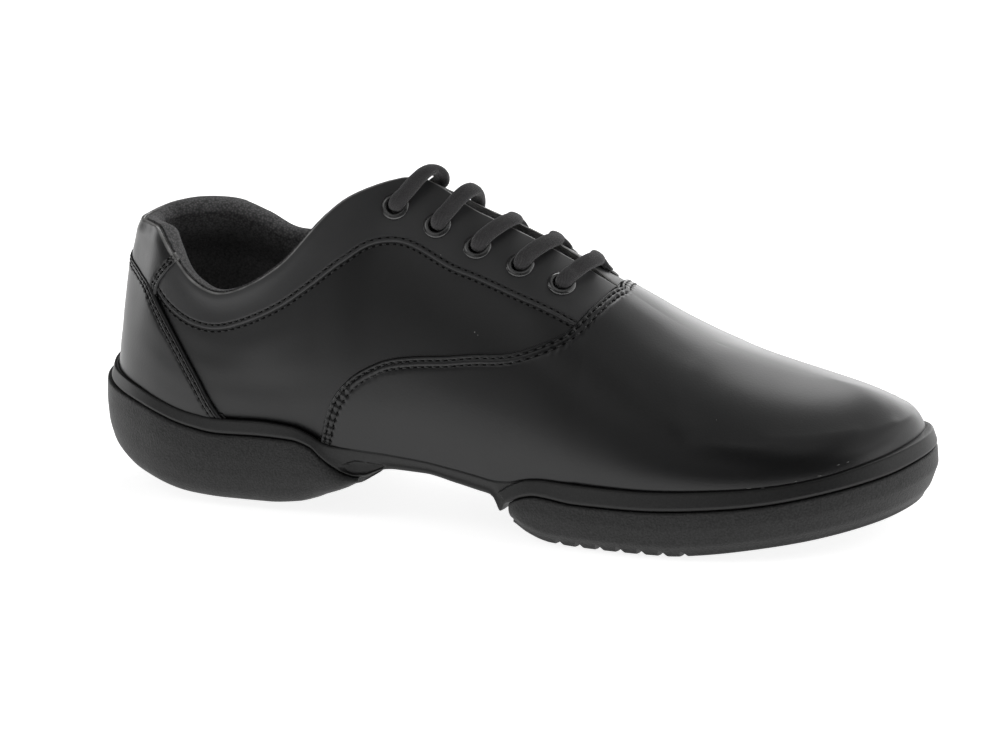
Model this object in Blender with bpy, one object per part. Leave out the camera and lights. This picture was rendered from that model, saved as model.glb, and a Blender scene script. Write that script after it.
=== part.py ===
"""Marching band shoe for the right foot: a lace-up leather upper in a rubber cup with two blocks under it.

Lengths are millimetres, and MM turns them to metres where a mesh is made. +X points to the toe, +Y to the
medial side and +Z up. "Turn" runs along the shoe from 0 at the back of the heel to 1 at the tip of the toe.
A loop goes on from there: 0 to 1 is the lateral side, and 1 to 2 is the medial side, from the toe back to the
heel. "Share" is the way up a rib of the upper, from 0 at the feather line to 1 at the collar, the edge of the
throat or the ridge of the vamp.
"""

import math
from typing import NamedTuple

import bmesh
import bpy
import numpy as np
from mathutils import Matrix, Vector

MM = 0.001
WELD = 0.01 * MM        # joins the ridge that both sides share

# Driving sizes
HEEL_X = 5.0            # back of the upper at the feather line, measured from the back of the sole
UPPER_LENGTH = 281.8    # feather line from heel to toe
WALL = 2.0              # upper leather with its lining
FIT = 0.3               # gap between pieces that meet
RIM_DEPTH = 2.7         # how far the upper stands down inside the cup
PANEL = 1.0             # vamp and heel counter
LIGHT_PANEL = 0.7       # facings and heel tab
PANEL_LIFT = 0.8        # lower edges of the panels, above the rim of the cup
INSOLE = 3.0
TONGUE = 2.4
TONGUE_GAP = 0.9

# Side of the sole, outwards from the feather line
BAND_TOP = 2.4
BAND_FOOT = 3.6
ARCH_INSET = 1.7        # the band steps in along the arch
ARCH_FROM = 97.0
ARCH_TO = 161.0
BLOCK_SIDE = 3.8
FORE_TREAD = -3.0
HEEL_TREAD = -11.0
FORE_ROLL = 0.7         # height of the rolled edge at the tread
HEEL_ROLL = 1.5
HEEL_BULGE = 2.4        # the heel block swells backwards
TOE_BULGE = 1.6         # the band and the forefoot block swell at the toe

# Blocks and tread
HEEL_END = 0.4125       # turn of the front tip of the heel block
FORE_START = 0.5425     # turn of the back of the forefoot block
TREAD_FIRST = 180.5
TREAD_PITCH = 7.4
TREAD_COUNT = 7
TREAD_WIDTH = 2.6
TREAD_DEPTH = 1.5

# Throat, eyelets and lace
THROAT_END = 0.60       # turn where the throat closes
EYELET_HOLE = 3.1
EYELET_BARREL = 3.5
EYELET_FLANGE = 4.6
MEDIAL_STAGGER = 0.011  # the medial eyelets sit a little further forward
LACE_WIDE = 2.7
LACE_THICK = 1.5

# Ribs of one side, closer where the collar, the band or the throat turns
RIB_TURNS = (
    0.00, 0.03, 0.06, 0.09, 0.12, 0.155, 0.19, 0.225, 0.26, 0.295, 0.33, 0.36, 0.375, 0.39, 0.4125,
    0.43, 0.46, 0.49, 0.517, 0.5425, 0.56, 0.58, 0.587, 0.594, 0.60, 0.63, 0.66, 0.69, 0.72, 0.75,
    0.785, 0.82, 0.855, 0.89, 0.925, 0.96, 1.00,
)
ROWS = 9


class Rib(NamedTuple):
    """One section of the upper: its feet, its tops, and the handles of the curve between them."""

    turn: float
    lateral: float    # y of the lateral foot
    medial: float     # y of the medial foot
    top_x: float      # x of both tops
    ridge: float      # y midway between the tops
    half: float       # half the opening between the tops
    z_lateral: float  # height of the lateral top
    z_medial: float   # height of the medial top
    rise: float       # lower handle, upwards, as a share of the height
    swell: float      # lower handle, outwards
    draw: float       # upper handle, downwards, as a share of the height
    crown: float      # upper handle, outwards


RIBS = (
    #   turn  lateral medial top_x ridge  half  z_lat  z_med  rise swell draw crown
    Rib(0.000,   0.0,  0.0,  18.0,  0.0,  0.0,  90.4,  90.4, 0.30, -0.6, 0.30, 5.5),
    Rib(0.050,  -9.5,  9.5,  18.8,  0.0,  7.6,  90.7,  90.9, 0.30, -0.6, 0.30, 5.5),
    Rib(0.100, -19.0, 18.0,  21.5,  0.0, 14.6,  90.5,  91.7, 0.30, -0.4, 0.30, 5.5),
    Rib(0.150, -26.0, 25.0,  27.6,  0.0, 20.6,  88.7,  92.1, 0.30, 0.2, 0.30, 5.2),
    Rib(0.200, -31.0, 30.0,  36.8, -0.2, 24.7,  83.0,  90.6, 0.30, 1.0, 0.30, 4.5),
    Rib(0.250, -33.5, 32.0,  47.5, -0.2, 27.4,  75.3,  85.8, 0.30, 2.2, 0.30, 3.5),
    Rib(0.300, -34.0, 32.0,  60.0, -0.2, 28.2,  72.5,  80.2, 0.30, 3.0, 0.30, 3.0),
    Rib(0.350, -34.0, 30.0,  79.0,  0.0, 26.5,  82.5,  84.5, 0.32, 3.5, 0.30, 4.0),
    Rib(0.400, -34.0, 28.0, 100.0,  0.0, 14.5, 104.0, 104.0, 0.38, 4.0, 0.25, 10.0),
    Rib(0.425, -34.5, 27.5, 112.0,  0.0,  4.5, 108.0, 108.0, 0.42, 4.0, 0.20, 15.0),
    Rib(0.500, -38.0, 30.0, 142.0,  0.0,  2.4,  97.5,  97.5, 0.50, 4.0, 0.14, 18.0),
    Rib(0.570, -42.5, 37.0, 174.0,  0.2,  2.0,  83.2,  83.2, 0.54, 3.0, 0.06, 19.0),
    Rib(0.600, -44.0, 40.0, 188.0,  0.5,  0.0,  74.4,  74.4, 0.55, 3.0, 0.00, 20.0),
    Rib(0.700, -43.5, 43.0, 215.0,  1.5,  0.0,  59.2,  59.2, 0.55, 2.0, 0.00, 19.0),
    Rib(0.800, -34.0, 37.0, 237.0,  3.0,  0.0,  51.6,  51.6, 0.55, 1.5, 0.00, 17.0),
    Rib(0.900, -16.0, 24.0, 252.5,  4.0,  0.0,  47.6,  47.6, 0.55, 1.0, 0.00, 15.0),
    Rib(1.000,   5.0,  5.0, 259.0,  5.0,  0.0,  46.4,  46.4, 0.55, 1.0, 0.00, 14.5),
)


class SoleLine(NamedTuple):
    """Heights of the side of the sole at one place along it."""

    x: float
    welt: float    # top edge of the band
    under: float   # lower edge of the band
    ground: float  # lower face of the blocks


SOLE = (
    #         x  welt  under ground
    SoleLine(0, 42.6, 37.6, 15.5),
    SoleLine(10, 40.9, 35.9, 11.6),
    SoleLine(20, 39.0, 34.0, 6.6),
    SoleLine(31, 37.0, 32.0, 2.4),
    SoleLine(40, 34.8, 29.8, 0.3),
    SoleLine(46, 33.4, 28.4, 0.0),
    SoleLine(60, 31.4, 26.4, 0.0),
    SoleLine(76, 31.1, 26.1, 0.0),
    SoleLine(84, 30.4, 25.4, 1.3),
    SoleLine(90, 28.4, 23.6, 3.6),
    SoleLine(96, 25.0, 20.2, 6.2),
    SoleLine(102, 23.8, 17.2, 9.0),
    SoleLine(107, 23.5, 16.4, 11.8),
    SoleLine(117, 23.3, 18.2, 12.0),
    SoleLine(133, 22.4, 17.6, 10.0),
    SoleLine(145, 21.5, 16.2, 8.0),
    SoleLine(156, 20.5, 14.4, 6.8),
    SoleLine(164, 20.3, 12.6, 5.6),
    SoleLine(168, 21.0, 14.4, 4.0),
    SoleLine(173, 21.7, 16.2, 1.9),
    SoleLine(179, 22.0, 16.6, 0.0),
    SoleLine(199, 21.6, 16.6, 0.0),
    SoleLine(219, 22.2, 17.0, 0.0),
    SoleLine(229, 22.9, 17.6, 0.8),
    SoleLine(248, 24.5, 19.3, 3.2),
    SoleLine(265, 26.4, 21.1, 5.5),
    SoleLine(280, 28.7, 23.2, 7.8),
    SoleLine(292, 31.0, 25.4, 10.0),
)


class Edge(NamedTuple):
    """A point of a panel's edge on the upper."""

    turn: float
    share: float


VAMP_EDGE = (
    Edge(0.380, 0.10),
    Edge(0.384, 0.17),
    Edge(0.393, 0.23),
    Edge(0.405, 0.28),
    Edge(0.422, 0.305),
    Edge(0.453, 0.335),
    Edge(0.482, 0.37),
    Edge(0.510, 0.40),
    Edge(0.537, 0.43),
    Edge(0.562, 0.48),
    Edge(0.580, 0.56),
    Edge(0.587, 0.65),
    Edge(0.594, 0.76),
    Edge(0.600, 0.88),
    Edge(0.605, 1.00),
)

FACING_EDGE = (
    Edge(0.178, 0.71),
    Edge(0.200, 0.675),
    Edge(0.225, 0.665),
    Edge(0.253, 0.68),
    Edge(0.280, 0.70),
    Edge(0.315, 0.71),
    Edge(0.367, 0.71),
    Edge(0.388, 0.72),
    Edge(0.413, 0.745),
    Edge(0.425, 0.74),
    Edge(0.443, 0.71),
    Edge(0.475, 0.70),
    Edge(0.517, 0.68),
    Edge(0.550, 0.66),
    Edge(0.584, 0.64),
)

COUNTER_EDGE = (
    Edge(0.000, 0.80),
    Edge(0.083, 0.79),
    Edge(0.150, 0.74),
    Edge(0.173, 0.71),
    Edge(0.190, 0.66),
    Edge(0.225, 0.53),
    Edge(0.255, 0.34),
    Edge(0.270, 0.21),
    Edge(0.278, 0.14),
)

TAB_SIDE = (
    Edge(0.172, 0.70),
    Edge(0.178, 0.79),
    Edge(0.190, 0.89),
    Edge(0.208, 1.00),
)

EYELETS = (
    Edge(0.430, 0.87),
    Edge(0.470, 0.84),
    Edge(0.507, 0.835),
    Edge(0.540, 0.83),
    Edge(0.572, 0.815),
)


class LaceBar(NamedTuple):
    """How one lace bar lies over the throat."""

    arch: float  # slack above the facings
    sag: float   # lean to the toe at the middle


LACE_BARS = (
    LaceBar(3.0, 4.5),
    LaceBar(1.6, 3.4),
    LaceBar(1.0, 3.0),
    LaceBar(1.0, 3.0),
    LaceBar(1.0, 2.5),
)


class Finish(NamedTuple):
    """Colour and roughness of one material."""

    name: str
    colour: tuple
    roughness: float
    metallic: float = 0.0


LEATHER = Finish("black_leather", (0.012, 0.012, 0.013), 0.38)
RUBBER = Finish("black_rubber", (0.018, 0.018, 0.018), 0.62)
FOAM = Finish("black_sock_fabric", (0.02, 0.02, 0.022), 0.9)
PAINTED = Finish("black_painted_eyelet", (0.01, 0.01, 0.01), 0.3, 0.6)
COTTON = Finish("black_cotton", (0.014, 0.014, 0.015), 0.9)


def smooth_line(knots, values, at):
    """Smooth curve through a table, with slopes from the neighbours."""
    knots = np.asarray(knots, float)
    values = np.asarray(values, float)
    at = np.asarray(at, float)
    return cubic(knots, values, np.gradient(values, knots), at)


def steady_line(knots, values, at):
    """Smooth curve through a table that never swings past its values."""
    knots = np.asarray(knots, float)
    values = np.asarray(values, float)
    rates = np.diff(values) / np.diff(knots)
    before, after = rates[:-1], rates[1:]
    same = before * after > 0
    total = np.where(same, before + after, 1.0)
    inner = np.where(same, 2 * before * after / total, 0.0)
    slopes = np.concatenate([rates[:1], inner, rates[-1:]])
    return cubic(knots, values, slopes, np.clip(at, knots[0], knots[-1]))


def cubic(knots, values, slopes, at):
    """Piecewise cubic from values and slopes."""
    i = np.clip(np.searchsorted(knots, at, side="right") - 1, 0, len(knots) - 2)
    span = knots[i + 1] - knots[i]
    t = (at - knots[i]) / span
    low = values[i] * (1 + 2 * t) * (1 - t) ** 2 + slopes[i] * span * t * (1 - t) ** 2
    high = values[i + 1] * t * t * (3 - 2 * t) - slopes[i + 1] * span * t * t * (1 - t)
    return low + high


def around(lateral, medial, loop):
    """Smooth closed curve through one table column on each side, read at places on the loop."""
    turns = [rib.turn for rib in RIBS]
    knots = turns + [2 - t for t in turns[-2:0:-1]]
    values = list(lateral) + list(medial[-2:0:-1])
    knots = [k - 2 for k in knots] + knots + [k + 2 for k in knots]
    return smooth_line(knots, values * 3, np.mod(loop, 2))


def column(name, loop):
    """One shared column of the rib table, read at places on the loop."""
    values = [getattr(rib, name) for rib in RIBS]
    return around(values, values, loop)


def side_column(lateral, medial, loop):
    """Two columns of the rib table, one for each side, read at places on the loop."""
    return around([getattr(rib, lateral) for rib in RIBS], [getattr(rib, medial) for rib in RIBS], loop)


def turn_of(loop):
    """The turn of a place on the loop."""
    loop = np.mod(loop, 2)
    return np.minimum(loop, 2 - loop)


def foot_plan(loop):
    """x and y of the feather line."""
    x = HEEL_X + UPPER_LENGTH * (1 - np.cos(np.pi * np.asarray(loop, float))) / 2
    return np.stack([x, side_column("lateral", "medial", loop)], -1)


def outward(loop):
    """Unit normal of the feather line in plan, pointing out."""
    step = 1e-3
    along = foot_plan(np.asarray(loop) + step) - foot_plan(np.asarray(loop) - step)
    normal = np.stack([along[..., 1], -along[..., 0]], -1)
    return normal / np.linalg.norm(normal, axis=-1, keepdims=True)


def plan_offset(loop, distance):
    """The feather line moved out by a distance."""
    distance = np.broadcast_to(np.asarray(distance, float), np.shape(loop))
    return foot_plan(loop) + outward(loop) * distance[..., None]


def sole_line(name, x):
    """One height of the sole's side along its length."""
    return steady_line([row.x for row in SOLE], [getattr(row, name) for row in SOLE], x)


def welt(loop):
    """Height of the band's top edge at places on the loop."""
    return sole_line("welt", foot_plan(loop)[..., 0])


def tops(loop):
    """The collar, the edges of the throat and the ridge of the vamp, as one line."""
    turn = turn_of(loop)
    side = np.where(np.mod(loop, 2) > 1, 1.0, -1.0)
    half = np.where(turn < THROAT_END - 1e-9, np.maximum(column("half", loop), 0.0), 0.0)
    y = column("ridge", loop) + side * half
    return np.stack([column("top_x", loop), y, side_column("z_lateral", "z_medial", loop)], -1)


def ribs(loop, share):
    """Points of the upper's outer surface: places on the loop by shares of the way up each rib."""
    loop = np.asarray(loop, float)
    foot = np.concatenate([foot_plan(loop), (welt(loop) - RIM_DEPTH)[:, None]], -1)
    top = tops(loop)
    out = np.concatenate([outward(loop), np.zeros((len(loop), 1))], -1)
    turn = np.clip(turn_of(loop), THROAT_END - 0.05, 0.99)
    ahead = tops(turn + 0.01) - tops(turn - 0.01)
    fade = np.clip((turn_of(loop) - THROAT_END + 0.05) / 0.05, 0.0, 1.0)
    crown = out * column("crown", loop)[:, None]
    crown[:, 2] = crown[:, 0] * fade * ahead[:, 2] / ahead[:, 0]
    height = (top - foot)[:, 2]
    up = np.array([0.0, 0.0, 1.0])
    low = foot + out * column("swell", loop)[:, None] + (column("rise", loop) * height)[:, None] * up
    high = top + crown - (column("draw", loop) * height)[:, None] * up
    v = np.asarray(share, float)
    v = (v if v.ndim == 2 else v[None, :])[..., None]
    foot, low, high, top = (p[:, None, :] for p in (foot, low, high, top))
    return foot * (1 - v) ** 3 + 3 * low * v * (1 - v) ** 2 + 3 * high * v * v * (1 - v) + top * v**3


def raw_normals(loop, share):
    """Normals of the outer surface from its two tangents."""
    along = ribs(loop + 2e-3, share) - ribs(loop - 2e-3, share)
    up = ribs(loop, share + 2e-3) - ribs(loop, share - 2e-3)
    normal = np.cross(along, up)
    return normal / np.linalg.norm(normal, axis=-1, keepdims=True)


def shell_points(loop, share, distance):
    """The outer surface moved along its normals; both sides agree on the ridge."""
    loop = np.asarray(loop, float)
    share = np.broadcast_to(np.asarray(share, float), (len(loop), np.shape(share)[-1]))
    normal = raw_normals(loop, share)
    ridge = (share > 1 - 1e-6) & (turn_of(loop) > THROAT_END - 1e-6)[:, None]
    beside = np.minimum(share, 0.94)
    shared = raw_normals(loop, beside) + raw_normals(2 - loop, beside)
    shared = shared / np.linalg.norm(shared, axis=-1, keepdims=True)
    normal = np.where(ridge[..., None], shared, normal)
    return ribs(loop, share) + normal * distance


def share_at(loop, height):
    """Share at which each rib reaches a height near its foot."""
    shares = np.linspace(0, 0.4, 161)
    z = ribs(loop, shares)[..., 2]
    return np.array([np.interp(h, row, shares) for h, row in zip(height, z)])


def full_loop():
    """Places of all the ribs, once around."""
    side = np.array(RIB_TURNS)
    return np.concatenate([side, 2 - side[-2:0:-1]])


def edge_line(edge, turn):
    """Share of a panel's edge along the turn."""
    return np.interp(turn, [p.turn for p in edge], [p.share for p in edge])


def material(finish):
    """Principled material for a finish."""
    made = bpy.data.materials.get(finish.name) or bpy.data.materials.new(finish.name)
    made.use_nodes = True
    shader = made.node_tree.nodes["Principled BSDF"]
    shader.inputs["Base Color"].default_value = (*finish.colour, 1.0)
    shader.inputs["Roughness"].default_value = finish.roughness
    shader.inputs["Metallic"].default_value = finish.metallic
    return made


def solid(name, points, faces, finish):
    """Closed mesh object from points in millimetres and faces by index."""
    mesh = bpy.data.meshes.new(name)
    mesh.from_pydata([tuple(float(c) * MM for c in p) for p in points], [], faces)
    body = bmesh.new()
    body.from_mesh(mesh)
    bmesh.ops.remove_doubles(body, verts=body.verts, dist=WELD)
    bmesh.ops.recalc_face_normals(body, faces=body.faces)
    body.to_mesh(mesh)
    body.free()
    mesh.materials.append(material(finish))
    made = bpy.data.objects.new(name, mesh)
    bpy.context.scene.collection.objects.link(made)
    return made


def sheet_solid(name, outer, inner, finish, closed=False, joined=None):
    """Solid between two grids of points; columns marked as joined share their top with the other side."""
    columns, rows = outer.shape[:2]
    joined = np.zeros(columns, bool) if joined is None else joined
    points = np.concatenate([outer.reshape(-1, 3), inner.reshape(-1, 3)])
    below = columns * rows
    faces = []
    for i in range(columns if closed else columns - 1):
        k = (i + 1) % columns
        for j in range(rows - 1):
            a, b = i * rows + j, k * rows + j
            for c in (0, below):
                faces.append((c + a, c + b, c + b + 1))
                faces.append((c + a, c + b + 1, c + a + 1))
        a, b = i * rows, k * rows
        faces.append((a, below + a, below + b, b))
        if not (joined[i] and joined[k]):
            a, b = a + rows - 1, b + rows - 1
            faces.append((a, b, below + b, below + a))
    for i in () if closed else (0, columns - 1):
        for j in range(rows - 1):
            a = i * rows + j
            faces.append((a, a + 1, below + a + 1, below + a))
    return solid(name, points, faces, finish)


def ring_solid(name, rings, finish, closed):
    """Solid from stacked outlines, filled across from side to side at the top and the bottom."""
    levels, columns = rings.shape[:2]
    faces = []
    for k in range(levels - 1):
        for i in range(columns if closed else columns - 1):
            a, b = k * columns + i, k * columns + (i + 1) % columns
            faces.append((a, b, b + columns, a + columns))
        if not closed:
            a, b = k * columns, k * columns + columns - 1
            faces.append((a, a + columns, b + columns, b))
    last = columns // 2
    pairs = [(i, (-i) % columns if closed else columns - 1 - i) for i in range(last + 1)]
    for start in (0, (levels - 1) * columns):
        for (a, b), (c, d) in zip(pairs, pairs[1:]):
            corners = list(dict.fromkeys((start + a, start + c, start + d, start + b)))
            faces.append(tuple(corners))
    return solid(name, rings.reshape(-1, 3), faces, finish)


def upper():
    """Hollow leather shell, open underneath, at the collar and along the throat."""
    loop = full_loop()
    share = np.linspace(0, 1, ROWS + 1)
    outer = shell_points(loop, share, 0.0)
    inner = shell_points(loop, share, -WALL)
    joined = turn_of(loop) > THROAT_END - 1e-6
    return sheet_solid("upper", outer, inner, LEATHER, closed=True, joined=joined)


def panel(name, loop, low, high, thick, finish):
    """Leather panel that lies on the upper between two shares of each rib, on the rows of the upper."""
    share = np.clip(np.linspace(0, 1, ROWS + 1)[None, :], low[:, None], high[:, None])
    share[:, 0] = low
    share[:, -1] = high
    outer = shell_points(loop, share, FIT + thick)
    inner = shell_points(loop, share, FIT)
    joined = (high > 1 - 1e-6) & (turn_of(loop) > THROAT_END - 1e-6)
    return sheet_solid(name, outer, inner, finish, joined=joined)


def between(first, last, extra=()):
    """Ribs of one side from one turn to another, with some extra ones."""
    fixed = {first, last, *extra}
    inside = {t for t in RIB_TURNS if first < t < last and min(abs(t - f) for f in fixed) > 0.004}
    return np.array(sorted(fixed | inside))


def vamp():
    """Vamp with a wing along each side, over the toe to the end of the throat."""
    side = between(VAMP_EDGE[0].turn, 1.0, (0.384, 0.405, 0.60, 0.605))
    loop = np.concatenate([side, 2 - side[-2::-1]])
    low = share_at(loop, welt(loop) + PANEL_LIFT)
    high = np.maximum(edge_line(VAMP_EDGE, turn_of(loop)), low + 0.02)
    return panel("vamp", loop, low, high, PANEL, LEATHER)


def heel_counter():
    """Counter around the back of the heel."""
    side = between(0.0, COUNTER_EDGE[-1].turn, (0.173, 0.255))
    loop = np.concatenate([-side[:0:-1], side])
    low = share_at(loop, welt(loop) + PANEL_LIFT)
    high = edge_line(COUNTER_EDGE, turn_of(loop)) - 0.008
    return panel("heel_counter", loop, low, np.maximum(high, low + 0.02), PANEL, LEATHER)


def heel_tab():
    """Tab at the back of the collar, above the counter."""
    side = between(0.0, 0.205, (0.173, 0.19))
    loop = np.concatenate([-side[:0:-1], side])
    turn = turn_of(loop)
    low = np.maximum(edge_line(COUNTER_EDGE, turn), edge_line(TAB_SIDE, turn)) + 0.012
    return panel("heel_tab", loop, low, np.ones(len(loop)), LIGHT_PANEL, LEATHER)


def facing(name, medial):
    """Collar and eyelet facing of one side, from the heel tab to the vamp."""
    side = between(0.178, 0.594, (0.19, 0.208))
    seam = edge_line(FACING_EDGE, side)
    lap = edge_line(VAMP_EDGE, side + 0.003) + 0.012
    low = np.where(side > 0.58, lap, seam)
    high = np.where(side < 0.208, edge_line(TAB_SIDE, side) - 0.012, 1.0)
    loop = 2 - side[::-1] if medial else side
    if medial:
        low = low[::-1]
        high = high[::-1]
    return panel(name, loop, low, high, LIGHT_PANEL, LEATHER)


def tongue():
    """Tongue under the facings, across the throat."""
    along = between(0.412, 0.625)
    shares = np.array([0.60, 0.70, 0.80, 0.90, 0.97])
    layers = []
    for depth in (WALL + TONGUE_GAP, WALL + TONGUE_GAP + TONGUE):
        lateral = shell_points(along, np.append(shares, 1.0), -depth)
        medial = shell_points(2 - along, np.append(shares, 1.0), -depth)
        middle = (lateral[:, -1:] + medial[:, -1:]) / 2
        layers.append(np.concatenate([lateral[:, :-1], middle, medial[:, -2::-1]], 1))
    return sheet_solid("tongue", layers[0], layers[1], LEATHER)


def band_inset(x):
    """How far the band stands back along the arch."""
    rise = np.clip((x - ARCH_FROM + 8) / 8, 0, 1)
    fall = np.clip((ARCH_TO + 10 - x) / 10, 0, 1)
    return ARCH_INSET * rise * rise * (3 - 2 * rise) * np.minimum(fall * fall * (3 - 2 * fall), 1)


def end_bulge(loop, toe, heel):
    """How far the sole swells out at the toe and at the heel."""
    turn = turn_of(loop)
    return toe * np.exp(-(((1 - turn) / 0.14) ** 2)) + heel * np.exp(-((turn / 0.11) ** 2))


def outline(loop, distance, height):
    """The feather line moved out by a distance, at a height."""
    height = np.broadcast_to(height, np.shape(loop))
    return np.concatenate([plan_offset(loop, distance), height[:, None]], -1)


def cup():
    """Rubber cup: a floor under the upper, and a rim and band around it."""
    loop = full_loop()
    x = foot_plan(loop)[:, 0]
    top = welt(loop)
    under = sole_line("under", x)
    inset = band_inset(x)
    swell = end_bulge(loop, TOE_BULGE, 0.0)
    flat = ribs(loop, share_at(loop, top)[:, None])[:, 0]
    lean = ((flat[:, :2] - foot_plan(loop)) * outward(loop)).sum(-1)
    rings = np.array(
        [
            outline(loop, FIT + 0.05, top - RIM_DEPTH - FIT),
            outline(loop, lean + FIT + 0.05, top),
            outline(loop, lean + BAND_TOP - 0.6 - inset * 0.5 + swell, top),
            outline(loop, lean + BAND_TOP - inset * 0.5 + swell, top - 0.6),
            outline(loop, BAND_FOOT - inset + swell, under + 0.9),
            outline(loop, BAND_FOOT - 0.9 - inset + swell, under),
        ]
    )
    return ring_solid("cup", rings, RUBBER, closed=True)


def block(name, loop, ends, tread, roll):
    """Rubber block under the cup, with rolled sides."""
    x = foot_plan(loop)[:, 0]
    top = sole_line("under", x) - FIT
    ground = np.minimum(sole_line("ground", x), top - 1.5)
    tall = top - ground
    side = BLOCK_SIDE - ends + end_bulge(loop, TOE_BULGE, HEEL_BULGE)
    low = BLOCK_SIDE - ends + end_bulge(loop, 0.0, HEEL_BULGE)
    profile = (
        (side - 1.2, top),
        (side - 0.2, top - np.minimum(1.0, 0.15 * tall)),
        (side, top - 0.35 * tall),
        (low - 0.9, ground + np.minimum(4.0 + roll, 0.42 * tall)),
        (low - 2.8, ground + np.minimum(1.5 + roll, 0.22 * tall)),
        (0.5 * low + 0.5 * tread, ground + np.minimum(roll, 0.09 * tall)),
        (tread - ends, ground),
    )
    rings = np.array([outline(loop, out, z) for out, z in profile])
    return ring_solid(name, rings, RUBBER, closed=False)


def heel_block():
    """Heel block with a rolled back and a tip that runs out under the arch."""
    side = between(0.0, HEEL_END)
    loop = np.concatenate([side[::-1], -side[1:]])
    ends = np.clip((np.abs(loop) - HEEL_END + 0.03) / 0.03, 0, 1) ** 2 * 2.5
    return block("heel_block", loop, ends, HEEL_TREAD, HEEL_ROLL)


def tread_cutter():
    """Bars across the forefoot that the tread grooves are cut with."""
    points = []
    faces = []
    for k in range(TREAD_COUNT):
        x = TREAD_FIRST + k * TREAD_PITCH
        wide = TREAD_WIDTH / 2
        deep = wide * 0.7
        section = ((x - wide, -5.0), (x + wide, -5.0), (x + deep, TREAD_DEPTH), (x - deep, TREAD_DEPTH))
        base = len(points)
        points += [(px, y, pz) for y in (-70.0, 70.0) for px, pz in section]
        faces += [(base, base + 1, base + 2, base + 3), (base + 7, base + 6, base + 5, base + 4)]
        faces += [(base + j, base + 4 + j, base + 4 + (j + 1) % 4, base + (j + 1) % 4) for j in range(4)]
    return cutter("tread_cutter", points, faces)


def cutter(name, points, faces):
    """Hidden solid that others are cut with."""
    made = solid(name, points, faces, RUBBER)
    made.hide_render = True
    made.display_type = "WIRE"
    return made


def cut(target, tool):
    """Takes one solid out of another."""
    change = target.modifiers.new("cut", "BOOLEAN")
    change.operation = "DIFFERENCE"
    change.solver = "EXACT"
    change.object = tool


def forefoot_block():
    """Forefoot block with transverse tread grooves."""
    side = between(FORE_START, 1.0)
    loop = np.concatenate([side, 2 - side[-2::-1]])
    ends = np.clip((FORE_START + 0.02 - turn_of(loop)) / 0.02, 0, 1) ** 2 * 3.0
    made = block("forefoot_block", loop, ends, FORE_TREAD, FORE_ROLL)
    cut(made, tread_cutter())
    return made


def insole():
    """Sock and insole on the floor of the cup."""
    loop = full_loop()
    floor = welt(loop) - RIM_DEPTH - FIT
    rings = np.array(
        [
            outline(loop, -WALL - 1.4, floor + FIT + INSOLE),
            outline(loop, -WALL - 0.8, floor + FIT + INSOLE - 0.6),
            outline(loop, -WALL - 0.8, floor + FIT),
        ]
    )
    return ring_solid("insole", rings, FOAM, closed=True)


def eyelet_frame(edge, medial):
    """Centre of an eyelet on the upper, its axis, and a direction along the facing."""
    loop = np.array([2 - edge.turn - MEDIAL_STAGGER if medial else edge.turn])
    share = np.array([[edge.share]])
    axis = raw_normals(loop, share)[0, 0]
    centre = ribs(loop, share)[0, 0]
    ahead = ribs(loop + 1e-3, share)[0, 0] - centre
    ahead = ahead - axis * ahead.dot(axis)
    return centre, axis, ahead / np.linalg.norm(ahead)


def turned(profile, frame, sides):
    """Points and faces of a closed profile (radius, height) turned around an eyelet's axis."""
    centre, axis, ahead = frame
    across = np.cross(axis, ahead)
    points = []
    faces = []
    count = len(profile)
    for i in range(sides):
        angle = 2 * math.pi * i / sides
        spoke = ahead * math.cos(angle) + across * math.sin(angle)
        points += [centre + spoke * radius + axis * height for radius, height in profile]
        for j in range(count):
            a, b = i * count + j, (i + 1) % sides * count + j
            c, d = i * count + (j + 1) % count, (i + 1) % sides * count + (j + 1) % count
            faces.append((a, b, d, c))
    return points, faces


def eyelets(side_name, medial):
    """Painted metal eyelets of one side."""
    seat = FIT + LIGHT_PANEL + FIT + 0.2
    profile = (
        (EYELET_HOLE, -WALL + 0.4),
        (EYELET_BARREL, -WALL + 0.4),
        (EYELET_BARREL, seat),
        (EYELET_FLANGE, seat),
        (EYELET_FLANGE - 0.4, seat + 0.7),
        (EYELET_HOLE, seat + 0.6),
    )
    for number, edge in enumerate(EYELETS, start=1):
        points, faces = turned(profile, eyelet_frame(edge, medial), 10)
        solid(f"eyelet_{side_name}_{number}", points, faces, PAINTED)


def eyelet_cutter():
    """Pins that the eyelet holes are cut with."""
    points = []
    faces = []
    radius = EYELET_BARREL + FIT
    sides = 10
    for edge in EYELETS:
        for medial in (False, True):
            centre, axis, ahead = eyelet_frame(edge, medial)
            across = np.cross(axis, ahead)
            base = len(points)
            for height in (-WALL - 3.0, 5.0):
                for i in range(sides):
                    angle = 2 * math.pi * i / sides
                    spoke = ahead * math.cos(angle) + across * math.sin(angle)
                    points.append(centre + spoke * radius + axis * height)
            faces.append(tuple(base + i for i in reversed(range(sides))))
            faces.append(tuple(base + sides + i for i in range(sides)))
            for i in range(sides):
                k = (i + 1) % sides
                faces.append((base + i, base + k, base + sides + k, base + sides + i))
    return cutter("eyelet_cutter", points, faces)


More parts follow.
